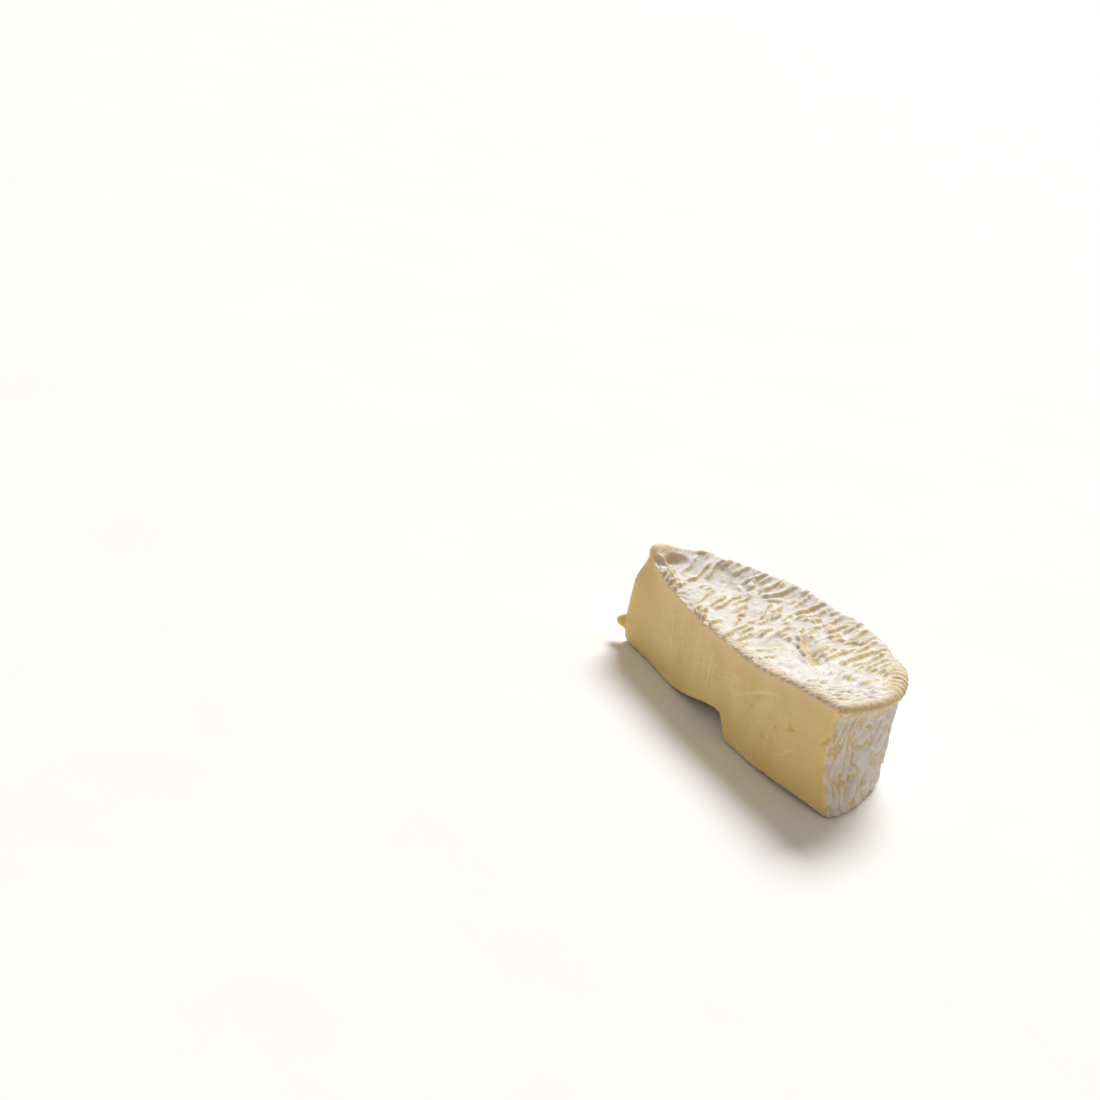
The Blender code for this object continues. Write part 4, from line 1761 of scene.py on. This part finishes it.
@dataclass(frozen=True)
class CheeseColours:
    """The colours that rind and paste share along their border."""

    white: Paint = tint(247, 245, 241)
    cream: Paint = tint(231, 224, 208)
    # Grey-mauve for painted shade in the hollows and on the side, and for the rind's grey clouds.
    dusk: Paint = tint(193, 181, 171)
    straw: Paint = tint(232, 216, 180)
    tan: Paint = tint(216, 196, 154)
    brown: Paint = tint(203, 175, 128)
    edge: Paint = tint(206, 174, 120)
    under_edge: Paint = tint(240, 210, 160)
    paste: Paint = tint(238, 212, 146)
    paste_pale: Paint = tint(243, 222, 162)
    paste_deep: Paint = tint(230, 200, 130)
    hole: Paint = tint(232, 192, 108)

    def rind(self, sheet: NodeSheet) -> Socket:
        """The rind's colour.

        Args:
            sheet: The nodes to add to.

        Returns:
            The colour's output.
        """
        worn = sheet.mask(Mask.WORN)
        clouds = sheet.ramp(sheet.speckle(0.004, 3.0), 0.42, 0.68)
        white = sheet.blend(clouds, self.white, self.cream)
        # Painted shade: the white is greyed in the hollows and over the side, and by the rind's grey
        # clouds.
        white = sheet.blend(sheet.math("MULTIPLY", sheet.mask(Mask.DUSK), 0.55), white, self.dusk)
        deep = sheet.ramp(sheet.speckle(0.0045, 2.0), 0.52, 0.72)
        tan = sheet.blend(sheet.math("MULTIPLY", deep, 0.75), self.tan, self.brown)
        crisp = sheet.math("ADD", worn, sheet.ramp(sheet.speckle(0.0009, 3.0), 0.2, 0.8, -0.08, 0.08))
        colour = sheet.blend(sheet.ramp(crisp, 0.06, 0.60), white, self.straw)
        colour = sheet.blend(sheet.ramp(crisp, 0.36, 1.0), colour, tan)
        flecks = sheet.ramp(sheet.speckle(0.0014, 3.0), 0.52, 0.72)
        edge = sheet.blend(flecks, self.edge, self.cream)
        return sheet.blend(sheet.math("MULTIPLY", sheet.mask(Mask.EDGE), 0.9), colour, edge)

    def waxy(self, sheet: NodeSheet) -> Socket:
        """The paste's colour.

        Args:
            sheet: The nodes to add to.

        Returns:
            The colour's output.
        """
        clouds = sheet.ramp(sheet.speckle(0.012, 3.0), 0.35, 0.7)
        paste = sheet.blend(clouds, self.paste, self.paste_deep)
        paste = sheet.blend(sheet.ramp(sheet.mask(Mask.SMEAR), 0.55, 1.0), paste, self.paste_pale)
        paste = sheet.blend(sheet.ramp(sheet.mask(Mask.SMEAR), 0.45, 0.0), paste, self.paste_deep)
        paste = sheet.blend(sheet.math("MULTIPLY", sheet.mask(Mask.EDGE), 0.8), paste, self.under_edge)
        return sheet.blend(sheet.ramp(sheet.mask(Mask.HOLE), 0.15, 0.9), paste, self.hole)

    def cheese(self, sheet: NodeSheet) -> Socket:
        """Rind and paste together, by the mask of the paste.

        Args:
            sheet: The nodes to add to.

        Returns:
            The colour's output.
        """
        return sheet.blend(sheet.mask(Mask.PASTE), self.rind(sheet), self.waxy(sheet))


@dataclass(frozen=True)
class RindFinish:
    """The downy rind: dry, softly lit and finely grained."""

    colours: CheeseColours = CheeseColours()
    roughness: tuple[float, float] = (0.74, 0.90)
    down: float = 0.00012
    crest: float = 0.00009

    def make(self) -> bpy.types.Material:
        """Builds the material.

        Returns:
            The new material.
        """
        sheet = NodeSheet("downy_rind")
        sheet.put(Base_Color=self.colours.cheese(sheet))
        low, high = self.roughness
        rough = sheet.ramp(sheet.speckle(0.0012, 3.0), 0.3, 0.7, low, high)
        sheet.put(Roughness=rough, Sheen_Weight=0.15, Sheen_Roughness=0.6)
        sheet.wax(0.25, (1.0, 0.75, 0.5), 0.0012)
        fine = sheet.math("MULTIPLY", sheet.speckle(0.0006, 4.0), self.down)
        crests = sheet.math("MULTIPLY", sheet.wrinkles(), self.crest)
        sheet.bump(sheet.math("ADD", fine, crests), 1.0)
        return sheet.material


@dataclass(frozen=True)
class PasteFinish:
    """The waxy paste: smooth, a little moist and lit from within."""

    colours: CheeseColours = CheeseColours()
    roughness: tuple[float, float] = (0.35, 0.54)

    def make(self) -> bpy.types.Material:
        """Builds the material.

        Returns:
            The new material.
        """
        sheet = NodeSheet("waxy_paste")
        sheet.put(Base_Color=self.colours.cheese(sheet))
        low, high = self.roughness
        sheet.put(Roughness=sheet.ramp(sheet.speckle(0.003, 3.0), 0.3, 0.7, low, high))
        sheet.wax(0.45, (1.0, 0.7, 0.3), 0.0025)
        fine = sheet.speckle(0.0007, 3.0, Vector((3.0, 1.0, 1.0)))
        sheet.bump(fine, 0.00006)
        return sheet.material


@dataclass(frozen=True)
class FloorFinish:
    """A plain pale table top with the faintest mottling."""

    pale: Paint = tint(247, 247, 247)
    dim: Paint = tint(245, 245, 245)

    def make(self) -> bpy.types.Material:
        """Builds the material.

        Returns:
            The new material.
        """
        sheet = NodeSheet("pale_floor")
        colour = sheet.blend(sheet.ramp(sheet.speckle(0.05, 2.0), 0.3, 0.7), self.pale, self.dim)
        sheet.put(Base_Color=colour, Roughness=0.9)
        return sheet.material


@dataclass(frozen=True)
class Lamp:
    """A soft distant light."""

    name: str
    azimuth: float
    elevation: float
    strength: float
    spread: float
    colour: tuple[float, float, float]

    def make(self) -> None:
        """Adds the light."""
        turn, rise = math.radians(self.azimuth), math.radians(self.elevation)
        flat = math.cos(rise)
        away = Vector((math.cos(turn) * flat, math.sin(turn) * flat, math.sin(rise)))
        data = bpy.data.lights.new(self.name, "SUN")
        data.energy = self.strength
        data.angle = math.radians(self.spread)
        data.color = self.colour
        lamp = bpy.data.objects.new(self.name, data)
        lamp.location = away
        lamp.rotation_euler = away.to_track_quat("Z", "Y").to_euler()
        bpy.context.scene.collection.objects.link(lamp)


@dataclass(frozen=True)
class Studio:
    """Floor, lights and camera."""

    floor_size: float = 30.0
    floor_below: float = 0.00005
    backdrop: float = 0.97
    sky: tuple[float, float, float] = (0.372, 0.323, 0.274)
    lamps: tuple[Lamp, ...] = (Lamp("key", 139, 44, 3.3, 24, (0.97, 1.0, 1.03)),)
    camera_place: tuple[float, float, float] = (0.464856, -0.339471, 0.245979)
    azimuth: float = 61.225
    elevation: float = 20.142
    roll: float = 12.37
    lens: float = 70.0
    sensor: float = 36.0
    nearest: float = 0.01

    def make(self) -> None:
        """Builds the whole studio."""
        self.make_floor()
        self.make_sky()
        for lamp in self.lamps:
            lamp.make()
        self.make_camera()
        view = bpy.context.scene.view_settings
        view.view_transform = "Standard"
        view.look = "None"

    def make_floor(self) -> None:
        """Lays the floor under the cheese."""
        bpy.ops.object.select_all(action="DESELECT")
        bpy.ops.mesh.primitive_plane_add(size=self.floor_size, location=(0.0, 0.0, -self.floor_below))
        floor = bpy.context.object
        floor.name = "pale_floor"
        floor.data.materials.append(FloorFinish().make())

    def make_sky(self) -> None:
        """Lights the studio evenly, with a white backdrop for the camera."""
        world = bpy.data.worlds.new("studio")
        world.use_nodes = True
        nodes, links = world.node_tree.nodes, world.node_tree.links
        soft = nodes["Background"]
        soft.inputs["Color"].default_value = (*self.sky, 1.0)
        white = nodes.new("ShaderNodeBackground")
        white.inputs["Strength"].default_value = self.backdrop
        path = nodes.new("ShaderNodeLightPath")
        mix = nodes.new("ShaderNodeMixShader")
        links.new(path.outputs["Is Camera Ray"], mix.inputs[0])
        links.new(soft.outputs[0], mix.inputs[1])
        links.new(white.outputs[0], mix.inputs[2])
        links.new(mix.outputs[0], nodes["World Output"].inputs["Surface"])
        bpy.context.scene.world = world

    def make_camera(self) -> None:
        """Sets the camera at the photograph's viewing angle."""
        data = bpy.data.cameras.new("camera")
        data.lens = self.lens
        data.sensor_width = self.sensor
        data.clip_start = self.nearest
        camera = bpy.data.objects.new("camera", data)
        turn = Matrix.Rotation(math.radians(self.azimuth), 4, "Z")
        tilt = Matrix.Rotation(math.radians(90 - self.elevation), 4, "X")
        roll = Matrix.Rotation(math.radians(self.roll), 4, "Z")
        camera.matrix_world = Matrix.Translation(self.camera_place) @ turn @ tilt @ roll
        bpy.context.scene.collection.objects.link(camera)
        bpy.context.scene.camera = camera


@dataclass
class CrumbRow:
    """Crumbs of rind that hang along the top edge of the cut, joined into one piece."""

    seed: int = 3
    count: int = 16
    smallest: float = 0.00018
    largest: float = 0.00050
    left_end: float = -0.046
    right_end: float = 0.046
    behind: float = 0.0015
    stretch: tuple[float, float] = (0.7, 1.5)
    nudge: float = 0.3
    swell: float = 0.45

    def make(self, cheese: bpy.types.Object) -> bpy.types.Object:
        """Builds the crumbs on the finished half wheel.

        Args:
            cheese: The finished half wheel.

        Returns:
            The joined piece.
        """
        draw = random.Random(self.seed)
        mesh = cheese.data
        edges, pastes = (mesh.attributes[mask.value].data for mask in (Mask.EDGE, Mask.PASTE))
        spots = [
            vertex.co.copy()
            for vertex, edge, paste in zip(mesh.vertices, edges, pastes)
            if edge.value > 0.5
            and paste.value < 0.2
            and self.left_end < vertex.co.x < self.right_end
            and vertex.co.y < self.behind
        ]
        bpy.ops.object.select_all(action="DESELECT")
        bpy.ops.mesh.primitive_ico_sphere_add(subdivisions=2, radius=1.0)
        first = bpy.context.object
        first.name = "rind_crumbs"
        pattern = [vertex.co.copy() for vertex in first.data.vertices]
        crumbs = []
        for index in range(self.count):
            crumb = first if index == 0 else first.copy()
            if index:
                crumb.data = first.data.copy()
                bpy.context.scene.collection.objects.link(crumb)
            spot = draw.choice(spots)
            size = self.smallest + (self.largest - self.smallest) * draw.random() ** 2
            stretch = Vector([draw.uniform(*self.stretch) for _ in range(3)]) * size
            shift = Vector([draw.uniform(0, 50) for _ in range(3)])
            level = [draw.uniform(-self.nudge, self.nudge) for _ in range(2)]
            nudge = Vector((*level, -self.nudge)) * size
            for vertex, ball in zip(crumb.data.vertices, pattern):
                swell = 1 + self.swell * noise.noise(ball * 1.3 + shift)
                vertex.co = spot + nudge + ball * swell * stretch
            crumb.select_set(True)
            crumbs.append(crumb)
        bpy.context.view_layer.objects.active = first
        bpy.ops.object.join()
        layer = first.data.attributes.new(Mask.WORN.value, "FLOAT", "POINT")
        shades = [draw.random() for _ in range(self.count)]
        per = len(pattern)
        layer.data.foreach_set("value", [shade for shade in shades for _ in range(per)])
        first.data.shade_smooth()
        return first


@dataclass(frozen=True)
class CrumbFinish:
    """Crumbs that are white, cream or tan."""

    colours: CheeseColours = CheeseColours()

    def make(self) -> bpy.types.Material:
        """Builds the material.

        Returns:
            The new material.
        """
        sheet = NodeSheet("rind_crumb")
        colours = self.colours
        shade = sheet.ramp(sheet.mask(Mask.WORN), 0.15, 0.75)
        colour = sheet.blend(shade, colours.cream, colours.tan)
        dust = sheet.ramp(sheet.speckle(0.0006, 2.0), 0.4, 0.7, 0.0, 0.6)
        colour = sheet.blend(dust, colour, colours.cream)
        sheet.put(Base_Color=colour, Roughness=0.8)
        sheet.wax(0.3, (1.0, 0.75, 0.45), 0.0008)
        return sheet.material


def dress_faces(piece: bpy.types.Object) -> None:
    """Gives each face of the half wheel its finish, by the mask of the paste.

    Args:
        piece: The half wheel.
    """
    mesh = piece.data
    mesh.materials.clear()
    mesh.materials.append(RindFinish().make())
    mesh.materials.append(PasteFinish().make())
    paste = np.empty(len(mesh.vertices), np.float32)
    mesh.attributes[Mask.PASTE.value].data.foreach_get("value", paste)
    for face in mesh.polygons:
        share = sum(paste[index] for index in face.vertices) / len(face.vertices)
        face.material_index = (Skin.PASTE if share > 0.5 else Skin.RIND).value


def attach(piece: bpy.types.Object, *nodes: str) -> None:
    """Fixes a finished piece to the frame.

    Args:
        piece: The piece.
        *nodes: The solids that it stands for.
    """
    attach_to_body(piece, BODY)
    if nodes:
        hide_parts(*nodes)
    log.info("%s: %d faces", piece.name, len(piece.data.polygons))


def main() -> None:
    """Builds the studio, the half wheel and its crumbs, in that order."""
    logging.basicConfig(level=logging.INFO, format="%(name)s: %(message)s")
    Studio().make()
    cheese = CheeseHalf().make()
    dress_faces(cheese)
    attach(cheese, NODE)
    crumbs = CrumbRow().make(cheese)
    crumbs.data.materials.clear()
    crumbs.data.materials.append(CrumbFinish().make())
    attach(crumbs)


if __name__ == "__main__":
    main()
